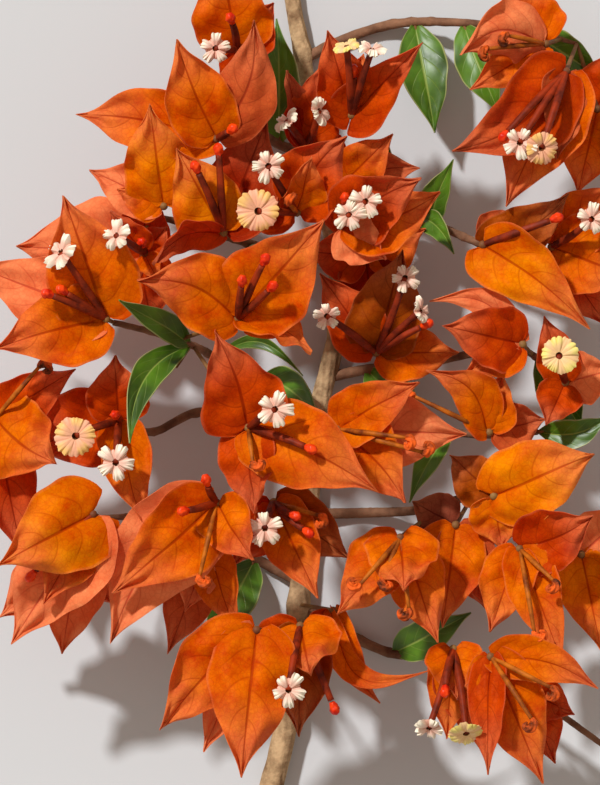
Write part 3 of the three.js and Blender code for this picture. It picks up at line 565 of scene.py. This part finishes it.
def starGrid(centre, radius, facing, form):
    turns = turnsRound(starSides)
    normal = unit(np.array((facing[0], facing[1], 1 - 0.8 * math.hypot(*facing))))
    right = unit(np.cross((0.05, 1.0, 0.02), normal))
    up = np.cross(normal, right)
    lobes = turns * 5 / (2 * math.pi)
    away = np.abs(lobes % 1 - 0.5)
    length, lean, droop = (
        np.array([random.uniform(-1, 1) for _ in range(5)])[lobes.astype(int)] for _ in range(3)
    )
    web = smoothStep(0.23, 0.36, away)
    lobe = 1 - web
    notch = np.exp(-((away / 0.045) ** 2))
    pleats = np.cos(2 * math.pi * form["pleats"] * away)
    frill = 0.03 * np.sin(form["frills"] * turns + anyTurn * random.random()) + 0.02 * np.sin(37 * turns)
    outline = 1 - form["dip"] * np.exp(-(((away - 0.27) / 0.05) ** 2)) - form["web"] * web
    outline = outline - form["notch"] * notch + form["frill"] * frill + form["length"] * length * lobe
    ridge = form["ridge"] - form["crease"] * web - 0.12 * notch + form["pleat"] * pleats * web
    outline = radius * outline * (1 + 0.06 * np.sin(turns + anyTurn * random.random()))
    share = starRows[:, None]
    reach = 0.5 + (outline[None, :] - 0.5) * share
    height = -1.6 * (1 - smoothStep(0, 0.12, share)) + 0.9 * share - (1.1 + 0.7 * droop * lobe) * share**4
    height = height + ridge[None, :] * np.sin(0.75 * math.pi * share)
    height = height + 0.35 * lean * lobe * share * np.sin(5 * turns)
    height = height + (frill[None, :] * form["ruffle"] * (1 - 0.5 * web)) * share**3
    turned = turns + anyTurn * random.random()
    flat = reach[..., None] * (np.cos(turned)[None, :, None] * right + np.sin(turned)[None, :, None] * up)
    return centre + flat + height[..., None] * normal


# A flower's tube from the knot: five-ribbed, slim at its foot and neck. A bud's tube ends in a knob.
tube = {
    "sides": 15, "rows": 26, "foot": 0.8, "waist": 1.2, "neck": 0.95,
    "bud": 1.5, "budLength": 4.2, "budRows": 12,
}


def addTube(shape, base, mouth, closed, slots):
    middle = 0.5 * (base + mouth)
    middle[2] += 0.1 * np.linalg.norm(mouth - base)
    middle[:2] += [random.uniform(-0.6, 0.6), random.uniform(-0.6, 0.6)]
    line = smoothLine([base, middle, mouth], tube["rows"])
    length = np.linalg.norm(np.diff(line, axis=0), axis=1).sum()
    share = np.linspace(0, 1, tube["rows"])
    radii = (tube["foot"], 0.9 * tube["waist"], tube["waist"], tube["neck"], 1.05 * tube["neck"])
    turns = turnsRound(tube["sides"])
    ribs = 1 + 0.09 * np.cos(5 * turns)[None, :]
    ribbed = np.interp(share, (0, 0.12, 0.4, 0.8, 1), radii)[:, None] * ribs
    if not closed:
        addRound(shape, rings(line, ribbed, tube["sides"]), slots[0])
        return
    start = 1 - tube["budLength"] / length
    below = share < start + 0.02
    addRound(shape, rings(line[below], ribbed[below], tube["sides"]), slots[0])
    rows, places, spiral = (np.linspace(a, b, tube["budRows"]) for a, b in ((0, 1), (start, 1), (0, 1.1)))
    knob = np.stack([np.interp(places, share, line[:, k]) for k in range(3)], axis=1)
    swell = np.interp(rows, (0, 0.2, 0.55, 0.8, 0.94, 1), (0.5, 0.72, 1, 0.85, 0.5, 0.12))[:, None]
    turned = 5 * (turns[None, :] + spiral[:, None])
    folds = 1 + 0.16 * np.cos(turned) + 0.08 * np.cos(2.4 * turned + 1)
    addRound(shape, rings(knob, tube["bud"] * swell * folds, tube["sides"]), slots[1])


# What is left of a flower that is over: an aged tube whose end has shrunk to a twisted, ridged curl.
aged = {"sides": 12, "rows": 16, "curlSides": 30, "curlRows": 44}


def addOld(shape, base, mouth, slots):
    middle = 0.5 * (base + mouth)
    middle[2] += 0.14 * np.linalg.norm(mouth - base)
    line = smoothLine([base, middle, mouth], aged["rows"])
    turns = turnsRound(aged["sides"])[None, :]
    radius = np.interp(np.linspace(0, 1, aged["rows"]), (0, 0.5, 1), (0.55, 0.8, 0.5))
    addRound(shape, rings(line, radius[:, None] * (1 + 0.1 * np.cos(5 * turns)), aged["sides"]), slots[0])
    away = unit(mouth - base)
    side = unit(np.cross(away, (0, 0, 1.0))) * random.choice((-1, 1))
    steps = ((-0.9, 0), (0.6, 0), (1.9, 1.5), (0.6, 2.9), (-0.8, 1.6))
    bends = [mouth + (out * away + over * side) for out, over in steps]
    bends[-1] = bends[-1] + (0, 0, 1.2)
    curl = smoothLine(bends, aged["curlRows"])
    share = np.linspace(0, 1, aged["curlRows"])[:, None]
    turns = turnsRound(aged["curlSides"])[None, :]
    ridges = 1 + 0.2 * np.cos(5 * turns + 16 * share) + 0.1 * np.sin(31 * share + 2 * turns)
    radius = np.interp(share, (0, 0.2, 0.55, 0.85, 1), (0.5, 1.15, 1.2, 0.8, 0.25))
    addRound(shape, rings(curl, radius * ridges, aged["curlSides"]), slots[1])


def makeMesh(name, shape, materials):
    mesh = bpy.data.meshes.new(name)
    points = (np.concatenate(shape["points"]) + tableOrigin) * mm
    mesh.from_pydata(points.tolist(), [], shape["faces"])
    mesh.uv_layers.new(name="blade").data.foreach_set("uv", np.concatenate(shape["corners"]).ravel())
    mesh.polygons.foreach_set("material_index", shape["slots"])
    mesh.polygons.foreach_set("use_smooth", [True] * len(shape["faces"]))
    for material in materials:
        mesh.materials.append(material)
    mesh.update()
    piece = bpy.data.objects.new(name, mesh)
    bpy.context.collection.objects.link(piece)
    return piece


def selectOnly(*pieces):
    bpy.ops.object.select_all(action="DESELECT")
    for piece in pieces:
        piece.select_set(True)
    bpy.context.view_layer.objects.active = pieces[0]


# Gives a bare sheet its thickness. An edge that turns by more than crisp, in degrees, stays sharp.
def thicken(piece, sheet, crisp=50):
    selectOnly(piece)
    piece.modifiers.new("sheet", "SOLIDIFY")
    piece.modifiers["sheet"].thickness = sheet * mm
    piece.modifiers["sheet"].offset = 0
    bpy.ops.object.modifier_apply(modifier="sheet")
    bpy.ops.object.shade_smooth_by_angle(angle=math.radians(crisp))


# The height that the frame gives a point of one of its solids, seen from above.
def frameHeight(node, x, y):
    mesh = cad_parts[node].data
    corners = np.empty(3 * len(mesh.vertices))
    mesh.vertices.foreach_get("co", corners)
    corners = corners.reshape(-1, 3) / mm - tableOrigin
    return corners[np.argmin(np.hypot(corners[:, 0] - x, corners[:, 1] - y))][2]


def linear(code):
    channels = [int(code[k : k + 2], 16) / 255 for k in (1, 3, 5)]
    return tuple(c / 12.92 if c <= 0.04045 else ((c + 0.055) / 1.055) ** 2.4 for c in channels) + (1,)


# Adds a shader node and gives back one of its outputs.
def addNode(tree, kind, inputs, out=0, **settings):
    node = tree.nodes.new("ShaderNode" + kind)
    for name, value in settings.items():
        setattr(node, name, value)
    for key, value in inputs.items():
        if isinstance(value, bpy.types.NodeSocket):
            tree.links.new(value, node.inputs[key])
        else:
            node.inputs[key].default_value = value
    return node.outputs[out] if node.outputs else None


def newMaterial(name):
    material = bpy.data.materials.new(name)
    material.use_nodes = True
    material.node_tree.nodes.clear()
    return material, material.node_tree


# How often a pattern repeats in a metre, as a whole number, from the size of one patch in millimetres.
def scaleOf(patch):
    return round(1000 / patch)


smooth = {"interpolation_type": "SMOOTHSTEP"}
falling = {"To Min": 1.0, "To Max": 0.0}
blend = {"data_type": "RGBA", "out": 2}


# Masks of a blade's veins from its own pattern map: midrib, arched side veins, and how far out to the edge.
def veinMasks(tree, form):
    along = addNode(tree, "SeparateXYZ", {0: addNode(tree, "UVMap", {}, uv_map="blade")})
    across = along.node.outputs[1]
    centred = addNode(tree, "Math", {0: across, 1: 0.5}, operation="SUBTRACT")
    half = addNode(tree, "Math", {0: centred}, operation="ABSOLUTE")
    edge = addNode(tree, "Math", {0: half, 1: 2.0}, operation="MULTIPLY")
    stretched = addNode(tree, "Math", {0: along, 1: veinRun["stretch"]}, operation="POWER")
    arched = addNode(tree, "Math", {0: edge, 1: veinRun["arch"]}, operation="POWER")
    leant = addNode(tree, "Math", {0: arched, 1: -veinRun["lean"], 2: stretched}, operation="MULTIPLY_ADD")
    rightHalf = addNode(tree, "Math", {0: centred, 1: 0.0}, operation="GREATER_THAN")
    offset = addNode(tree, "Math", {0: rightHalf, 1: veinRun["stagger"]}, operation="MULTIPLY")
    phase = addNode(tree, "Math", {0: leant, 1: float(form["veins"]), 2: offset}, operation="MULTIPLY_ADD")
    apart = addNode(tree, "Math", {0: phase, 1: 0.5}, operation="PINGPONG")
    line = addNode(tree, "MapRange", {0: apart, "From Max": 0.07, **falling}, **smooth)
    fading = addNode(tree, "MapRange", {0: edge, "From Min": 0.55, "From Max": 0.95, **falling})
    side = addNode(tree, "Math", {0: line, 1: fading}, operation="MULTIPLY")
    reach = {"From Min": 0.3 * form["midrib"], "From Max": form["midrib"], **falling}
    middle = addNode(tree, "MapRange", {0: edge, **reach}, **smooth)
    return middle, side, edge, along


# The strongest of some masks, each weakened to a share of itself.
def strongest(tree, *masks):
    weakened = [addNode(tree, "Math", {0: mask, 1: share}, operation="MULTIPLY") for mask, share in masks]
    best = weakened[0]
    for mask in weakened[1:]:
        best = addNode(tree, "Math", {0: best, 1: mask}, operation="MAXIMUM")
    return best


# Bract: a papery coloured leaf of a flower head, dull with a faint sheen, that lets a good part of the
# sunlight through. Its veins are finely netted, and the blade swells a little between them. A pattern's sizes
# are in millimetres.
bractPattern = {"net": 1.613, "patch": 11.11, "pucker": 3.333, "relief": 0.26}
# Orange is the bracts' own colour and salmon their paler back. Red, crimson, umber, rust and dusky are darker
# copies of them, painted shade; amber is a brighter copy, painted sunlight shining through.
bractTones = {
    "orange": {"deep": "#C43E00", "bright": "#F28402", "through": "#FF8400"},
    # Painted shade: the orange bract darkened to deep red, for bracts in shade.
    "shadedRed": {"deep": "#A82A02", "bright": "#DC5404", "through": "#FA5C00"},
    # Painted sunlight: the orange bract brightened to yellow-orange, for bracts the sun shines through.
    "sunlitAmber": {"deep": "#D24E00", "bright": "#F89A02", "through": "#FF9600"},
    "salmon": {"deep": "#E26A3A", "bright": "#FFA468", "through": "#FF9A52"},
    # Painted shade: the salmon bract darkened, for bracts in shade.
    "rustShade": {"deep": "#AE4220", "bright": "#DA6C34", "through": "#F47C40"},
    # Painted shade: the deepest red, for bracts in deep shade.
    "deepShadeCrimson": {"deep": "#8E1A04", "bright": "#BC3406", "through": "#DC4406"},
    # Painted shade: the orange bract darkened to brown, for bracts in shade.
    "umberShade": {"deep": "#8A3406", "bright": "#BA5C0C", "through": "#DC6C10"},
    # Painted shade: a dull maroon, for a bract in shade.
    "duskyShade": {"deep": "#7A3424", "bright": "#A85A40", "through": "#C06A44"},
}
paleTip = "#E08A5C"
veinShade = (0.68, 0.3, 0.5)  # what the veins keep of the deep tone's red, green and blue
sheenTint = "#FFA060"


def bractMaterial(name, tone):
    material, tree = newMaterial(name)
    middle, side, edge, along = veinMasks(tree, bractForm)
    place = addNode(tree, "TexCoord", {}, out="Object")
    cells = {"Vector": place, "Scale": scaleOf(bractPattern["net"])}
    net = addNode(tree, "TexVoronoi", cells, out="Distance", feature="DISTANCE_TO_EDGE")
    mesh = addNode(tree, "MapRange", {0: net, "From Max": 0.12, **falling})
    patches = {"Vector": place, "Scale": scaleOf(bractPattern["patch"]), "Detail": 6.0, "Roughness": 0.72}
    clouds = addNode(tree, "TexNoise", patches)
    share = addNode(tree, "MapRange", {0: clouds, "From Min": 0.33, "From Max": 0.67})
    # A bract leans to its deep tone towards its foot, where the bracts meet and cover each other: painted
    # shade. fresh is the share of the bright tone, in random patches and less at the foot.
    foot = addNode(tree, "MapRange", {0: along, "From Max": 0.3, "To Min": 0.45})
    fresh = addNode(tree, "Math", {0: share, 1: foot}, operation="MULTIPLY")
    deep, bright, through = (linear(tone[part]) for part in ("deep", "bright", "through"))
    flesh = addNode(tree, "Mix", {0: fresh, 6: deep, 7: bright}, **blend)
    tip = addNode(tree, "MapRange", {0: along, "From Min": 0.45, "To Max": 0.55}, **smooth)
    rim = addNode(tree, "MapRange", {0: edge, "From Min": 0.92, "From Max": 0.99, "To Max": 0.3}, **smooth)
    pale = addNode(tree, "Math", {0: tip, 1: rim}, operation="MAXIMUM")
    body = addNode(tree, "Mix", {0: pale, 6: flesh, 7: linear(paleTip)}, **blend)
    veined = strongest(tree, (side, 0.4), (mesh, 0.2), (middle, 0.7))
    dark = tuple(keep * c for keep, c in zip(veinShade, deep)) + (1,)
    colour = addNode(tree, "Mix", {0: veined, 6: body, 7: dark}, **blend)
    swells = {"Vector": place, "Scale": scaleOf(bractPattern["pucker"]), "Detail": 3.0}
    pucker = addNode(tree, "TexNoise", swells)
    relief = addNode(tree, "Math", {0: veined, 1: -0.9, 2: pucker}, operation="MULTIPLY_ADD")
    bump = addNode(tree, "Bump", {"Height": relief, "Strength": 0.7, "Distance": bractPattern["relief"] * mm})
    sheen = {"Roughness": 0.48, "Specular IOR Level": 0.17, "Specular Tint": linear(sheenTint)}
    surface = addNode(tree, "BsdfPrincipled", {"Base Color": colour, **sheen, "Normal": bump})
    glow = addNode(tree, "Mix", {0: veined, 6: through, 7: deep}, **blend)
    back = addNode(tree, "BsdfTranslucent", {"Color": glow, "Normal": bump})
    mixed = addNode(tree, "MixShader", {0: 0.36, 1: surface, 2: back})
    addNode(tree, "OutputMaterial", {"Surface": mixed})
    return material


# Green leaf: smooth and slightly waxy above, with pale veins and a pale thin margin; the margin is partly the
# leaf's own pale edge and partly painted rim light.
leafTone = {
    "deep": "#34520C", "bright": "#5E8A1C", "vein": "#93A94C", "paleEdgeAndRimLight": "#A4A868", "through": "#86AE2A",
}
leafPattern = {"patch": 11.11, "relief": 0.3}


def leafMaterial(name, tone):
    material, tree = newMaterial(name)
    middle, side, edge, _ = veinMasks(tree, leafForm)
    place = addNode(tree, "TexCoord", {}, out="Object")
    patches = {"Vector": place, "Scale": scaleOf(leafPattern["patch"]), "Detail": 4.0}
    clouds = addNode(tree, "TexNoise", patches)
    share = addNode(tree, "MapRange", {0: clouds, "From Min": 0.35, "From Max": 0.65})
    deep, bright, vein, paleEdgeAndRimLight, through = (linear(code) for code in tone.values())
    body = addNode(tree, "Mix", {0: share, 6: deep, 7: bright}, **blend)
    veined = strongest(tree, (side, 0.35), (middle, 0.85))
    ribbed = addNode(tree, "Mix", {0: veined, 6: body, 7: vein}, **blend)
    # The pale margin: partly the leaf's own edge, partly painted rim light.
    rim = addNode(tree, "MapRange", {0: edge, "From Min": 0.92, "From Max": 0.98}, **smooth)
    colour = addNode(tree, "Mix", {0: rim, 6: ribbed, 7: paleEdgeAndRimLight}, **blend)
    folds = {"Height": veined, "Strength": 0.5, "Distance": leafPattern["relief"] * mm}
    bump = addNode(tree, "Bump", folds, invert=True)
    wax = {"Roughness": 0.38, "Specular IOR Level": 0.5}
    surface = addNode(tree, "BsdfPrincipled", {"Base Color": colour, **wax, "Normal": bump})
    back = addNode(tree, "BsdfTranslucent", {"Color": through, "Normal": bump})
    mixed = addNode(tree, "MixShader", {0: 0.25, 1: surface, 2: back})
    addNode(tree, "OutputMaterial", {"Surface": mixed})
    return material


# Petals of an open flower: waxy, white at their lobes, pink in the webs and at the throat. Old ones yellow.
petalPattern = {"patch": 6.25, "grain": 1.111, "relief": 0.2}
petalTones = {
    "whitePetal": {"lobe": "#ECE2CC", "web": "#DEA894"},
    "creamPetal": {"lobe": "#E4B468", "web": "#E2A284"},
    "yellowPetal": {"lobe": "#E2CF74", "web": "#E4B888"},
}


def petalMaterial(name, tone):
    material, tree = newMaterial(name)
    outward = addNode(tree, "SeparateXYZ", {0: addNode(tree, "UVMap", {}, uv_map="blade")})
    lobes = addNode(tree, "Math", {0: outward.node.outputs[1], 1: 5.0}, operation="MULTIPLY")
    apart = addNode(tree, "Math", {0: lobes, 1: 0.5}, operation="PINGPONG")
    ramp = {"From Min": 0.1, "From Max": 0.3, "To Min": 0.9, "To Max": 0.0}
    web = addNode(tree, "MapRange", {0: apart, **ramp}, **smooth)
    spot = addNode(tree, "TexCoord", {}, out="Object")
    clouds, grain = (
        addNode(tree, "TexNoise", {"Vector": spot, "Scale": scaleOf(petalPattern[size]), "Detail": 3.0})
        for size in ("patch", "grain")
    )
    uneven = addNode(tree, "Math", {0: clouds, 1: 0.8, 2: -0.4}, operation="MULTIPLY_ADD")
    out = addNode(tree, "Math", {0: outward, 1: uneven}, operation="ADD")
    ramp = {"From Min": 0.2, "From Max": 0.75, "To Min": 0.85, "To Max": 0.0}
    centre = addNode(tree, "MapRange", {0: out, **ramp}, **smooth)
    share = addNode(tree, "Math", {0: web, 1: centre}, operation="MAXIMUM")
    pair = {6: linear(tone["lobe"]), 7: linear(tone["web"])}
    colour = addNode(tree, "Mix", {0: share, **pair}, **blend)
    bump = addNode(tree, "Bump", {"Height": grain, "Strength": 0.5, "Distance": petalPattern["relief"] * mm})
    wax = {"Roughness": 0.5, "Specular IOR Level": 0.25}
    surface = addNode(tree, "BsdfPrincipled", {"Base Color": colour, **wax, "Normal": bump})
    addNode(tree, "OutputMaterial", {"Surface": surface})
    return material


# Soft plant flesh and wood: two tones in patches, with a fine grain. Sizes are in millimetres, and a pattern
# repeats after two patches or grains.
plainFinishes = {
    # The throat of an open flower, dark and downy.
    "flowerThroat": dict(tones=("#3A1C0C", "#7A4A22"), patch=0.8, grain=0.3, depth=0.1, roughness=0.8),
    # A flower's tube: downy, dark maroon.
    "downyTube": dict(tones=("#541402", "#922C04"), patch=3.0, grain=0.35, depth=0.08, roughness=0.6),
    # The closed tip of a tube, bright and waxy.
    "waxyBud": dict(tones=("#C41C02", "#EE460A"), patch=1.6, grain=0.4, depth=0.06, roughness=0.38),
    # The tube of a flower that is over: brown to ochre.
    "agedTube": dict(tones=("#6A2C04", "#BC640C"), patch=3.0, grain=0.35, depth=0.1, roughness=0.6),
    # Dry remains of flowers, from orange to brown.
    "dryFlower": dict(tones=("#4E2008", "#E45C14"), patch=2.2, grain=0.4, depth=0.2, roughness=0.7),
    # Stalks, olive to reddish brown, downy.
    "greenStalk": dict(tones=("#6A3A22", "#8C6A3A"), patch=5.0, grain=0.4, depth=0.08, roughness=0.6),
    # Twig: thin young bark, red-brown.
    "youngBark": dict(tones=("#5A3A28", "#8A6248"), patch=4.0, grain=0.6, depth=0.25, roughness=0.8),
    # Old bark: pale, corky and dull, cracked along the stem.
    "corkyBark": dict(tones=("#765A3E", "#C0A078"), patch=3.0, grain=0.8, depth=0.5, roughness=0.9),
}


def plainMaterial(name, finish):
    material, tree = newMaterial(name)
    place = addNode(tree, "TexCoord", {}, out="Object")
    patches = {"Vector": place, "Scale": 1000 / finish["patch"] / 2, "Detail": 5.0, "Roughness": 0.6}
    clouds = addNode(tree, "TexNoise", patches)
    share = addNode(tree, "MapRange", {0: clouds, "From Min": 0.36, "From Max": 0.62})
    low, high = (linear(code) for code in finish["tones"])
    colour = addNode(tree, "Mix", {0: share, 6: low, 7: high}, **blend)
    grain = addNode(tree, "TexNoise", {"Vector": place, "Scale": 1000 / finish["grain"] / 2, "Detail": 2.0})
    bump = addNode(tree, "Bump", {"Height": grain, "Strength": 0.8, "Distance": finish["depth"] * mm})
    dull = {"Roughness": finish["roughness"], "Specular IOR Level": 0.2}
    surface = addNode(tree, "BsdfPrincipled", {"Base Color": colour, **dull, "Normal": bump})
    addNode(tree, "OutputMaterial", {"Surface": surface})
    return material


tones = list(bractTones)
bractMaterials = [bractMaterial(tone + "Bract", bractTones[tone]) for tone in tones]
greenLeaf = leafMaterial("waxyGreenLeaf", leafTone)
plain = {name: plainMaterial(name, finish) for name, finish in plainFinishes.items()}
plain.update({name: petalMaterial(name, tone) for name, tone in petalTones.items()})
print("materials made:", len(bpy.data.materials))


# The stem and boughs. A track is a limb's middle line with its radius along it.
def radiusAlong(width, count):
    return np.linspace(0.5 * width[0], 0.5 * width[1], count)


def nearestOn(track, place):
    line, radius = track
    k = np.argmin(np.linalg.norm(line - place, axis=1) - radius)
    return line[k], radius[k]


# Bark relief: long ridges and cracks, with a swelling at each node where a side shoot stood.
def barkRelief(rows, sides, depth, nodes):
    turns = turnsRound(sides)[None, :]
    share = np.linspace(0, 1, rows)[:, None]
    relief = np.zeros((rows, sides))
    for k in range(7):
        count, pitch, phase = random.randint(2, 11), random.uniform(3, 26), random.uniform(0, anyTurn)
        waver = 1.4 * np.sin(7 * share * math.pi + k)
        relief += np.sin(count * turns + pitch * share * 2 * math.pi + phase + waver)
    relief *= depth / 3.5
    for node in nodes:
        swelling = 2.2 * depth * np.exp(-(((share - node) / 0.012) ** 2))
        relief += swelling * (1 + 0.6 * np.cos(turns - 7 * node))
    return relief


stemLine = smoothLine(stem["route"], stem["rows"])
stemRadius = radiusAlong(stem["width"], stem["rows"])
stemShape = newShape()
relief = barkRelief(stem["rows"], stem["sides"], stem["bark"], stem["nodes"])
addRound(stemShape, rings(stemLine, stemRadius[:, None] - stem["inset"] + relief, stem["sides"]), 0)
piece = makeMesh("stem_wood", stemShape, [plain["corkyBark"]])
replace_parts(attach(piece, "root"), "main_stem")

petiole = {"foot": 0.7, "tip": 0.35, "sides": 8, "rows": 8}
tracks = [(stemLine, stemRadius)]
for name, entry in boughs.items():
    route = [np.array(point, float) for point in entry["route"]]
    point, radius = nearestOn(tracks[0], route[0])
    route[0] = point + unit(route[1] - point) * (radius - boughWood["sunk"])
    line = smoothLine(route, boughWood["rows"])
    radius = radiusAlong(boughWood["width"], boughWood["rows"])
    tracks.append((line, radius))
    wood = newShape()
    nodes = [random.uniform(0.1, 0.95) for _ in range(4)]
    relief = barkRelief(boughWood["rows"], boughWood["sides"], boughWood["bark"], nodes)
    addRound(wood, rings(line, radius[:, None] + relief, boughWood["sides"]), 0)
    blades = newShape()
    for item in entry["leaves"]:
        foot, _ = nearestOn(tracks[-1], np.array(item["near"], float))
        x, y = item["tip"][:2]
        tip = np.array((x, y, frameHeight(name, x, y)))
        addGrid(blades, bladeGrid(foot, tip, item, leafForm), 0)
        rib = [foot, foot + 0.12 * (tip - foot), foot + 0.22 * (tip - foot) + (0, 0, 0.4)]
        radii = np.linspace(petiole["foot"], petiole["tip"], petiole["rows"])
        addRound(wood, rings(smoothLine(rib, petiole["rows"]), radii, petiole["sides"]), 1)
    piece = makeMesh(name.replace("bough", "wood"), wood, [plain["youngBark"], plain["greenStalk"]])
    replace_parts(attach(piece, "root"), name)
    if entry["leaves"]:
        piece = makeMesh(name.replace("bough", "leaves"), blades, [greenLeaf])
        thicken(piece, leafForm["sheet"])
        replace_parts(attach(piece, "root"), name)
print("wood and leaves made")

# The blooms, joined spray by spray: bracts in one piece, and flowers with their tubes and stalks in another.
stalk = {"foot": 0.6, "tip": 0.8, "sides": 10, "rows": 16, "sunk": 0.4, "sag": 0.06}
knot = {"radius": 1.3, "sides": 12, "rows": 9}
petalSheet = 0.25
flowerParts = ["downyTube", "waxyBud", "dryFlower", "greenStalk", "flowerThroat", "agedTube", *petalTones]
slotOf = flowerParts.index
allLines = np.concatenate([line for line, _ in tracks])
allRadii = np.concatenate([radius for _, radius in tracks])


# A bloom's spray is its own name without the letter that counts it.
def sprayOf(name):
    short = name.removeprefix("bloom_")
    return short[:-2] if short[-2] == "_" else short


# The knot that the bracts and tubes stand on, and the stalk that carries it from the nearest wood.
def addStalk(shape, base):
    line = np.linspace(base - (0, 0, knot["radius"]), base + (0, 0, knot["radius"]), knot["rows"])
    ball = np.sqrt(np.clip(1 - np.linspace(-0.96, 0.96, knot["rows"]) ** 2, 0, 1))
    addRound(shape, rings(line, knot["radius"] * ball, knot["sides"]), slotOf("greenStalk"))
    point, radius = nearestOn((allLines, allRadii), base)
    foot = point + unit(base - point) * (radius - stalk["sunk"])
    middle = 0.5 * (foot + base) - (0, 0, stalk["sag"] * np.linalg.norm(base - foot))
    line = smoothLine([foot, middle, base], stalk["rows"])
    radius = np.linspace(stalk["foot"], stalk["tip"], stalk["rows"])
    addRound(shape, rings(line, radius, stalk["sides"]), slotOf("greenStalk"))


sprays = {}
for name in blooms:
    sprays.setdefault(sprayOf(name), []).append(name)

for spray, names in sprays.items():
    sheets, petals, tubes = newShape(), newShape(), newShape()
    for name in names:
        entry = blooms[name]
        base = np.array(entry["base"], float)
        tips = entry["bracts"]
        base[2] += np.median([frameHeight(name, b["x"], b["y"]) - base[2] - b["lift"] for b in tips])
        for item in tips:
            tip = np.array((item["x"], item["y"], base[2] + item["lift"]))
            foot = base + bractFoot * unit(tip - base) + (0, 0, bractSpread * item["lift"])
            addGrid(sheets, bladeGrid(foot, tip, item, bractForm), tones.index(item["tone"]))
        for item in entry["flowers"]:
            mouth = np.array((item["x"], item["y"], base[2] + item["lift"]))
            if item["kind"] == "old":
                addOld(tubes, base, mouth, (slotOf("agedTube"), slotOf("dryFlower")))
                continue
            addTube(tubes, base, mouth, item["kind"] == "bud", (slotOf("downyTube"), slotOf("waxyBud")))
            if item["kind"] == "star":
                form = starForms["fresh" if item["petals"] == "white" else "aged"]
                grid = starGrid(mouth, item["radius"], item["facing"], form)
                addGrid(petals, grid[:throatRows], slotOf("flowerThroat"), closed=True)
                addGrid(petals, grid[throatRows - 1 :], slotOf(item["petals"] + "Petal"), closed=True)
        addStalk(tubes, base)
    piece = makeMesh("bracts_" + spray, sheets, bractMaterials)
    thicken(piece, bractForm["sheet"])
    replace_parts(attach(piece, "root"), *names)
    flowerMaterials = [plain[part] for part in flowerParts]
    piece = makeMesh("flowers_" + spray, tubes, flowerMaterials)
    if petals["count"]:
        stars = makeMesh("petals", petals, flowerMaterials)
        thicken(stars, petalSheet)
        selectOnly(piece, stars)
        bpy.ops.object.join()
    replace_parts(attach(piece, "root"), *names)
print("blooms made:", len(blooms), "in", len(sprays), "sprays")

# A plain pale floor and soft daylight from the upper left.
ground = {"size": 6, "tone": "#C4C6C8", "roughness": 0.9}
bpy.ops.mesh.primitive_plane_add(size=ground["size"], location=(0, 0, 0))
floor = bpy.context.object
floor.name = "floor"
material, tree = newMaterial("paleFloor")
chalk = {"Base Color": linear(ground["tone"]), "Roughness": ground["roughness"]}
addNode(tree, "OutputMaterial", {"Surface": addNode(tree, "BsdfPrincipled", chalk)})
floor.data.materials.append(material)

light = {"sun": 3.5, "softness": 4, "tilt": (-34, -32, 0), "sky": 0.55, "skyTone": "#F4E6D8"}
bpy.ops.object.light_add(type="SUN", rotation=[math.radians(angle) for angle in light["tilt"]])
sun = bpy.context.object
sun.data.energy = light["sun"]
sun.data.angle = math.radians(light["softness"])
world = bpy.data.worlds.new("studio")
world.use_nodes = True
sky = world.node_tree.nodes["Background"].inputs
sky["Color"].default_value = linear(light["skyTone"])
sky["Strength"].default_value = light["sky"]
bpy.context.scene.world = world
bpy.context.scene.view_settings.view_transform = "Standard"
print("stage set")
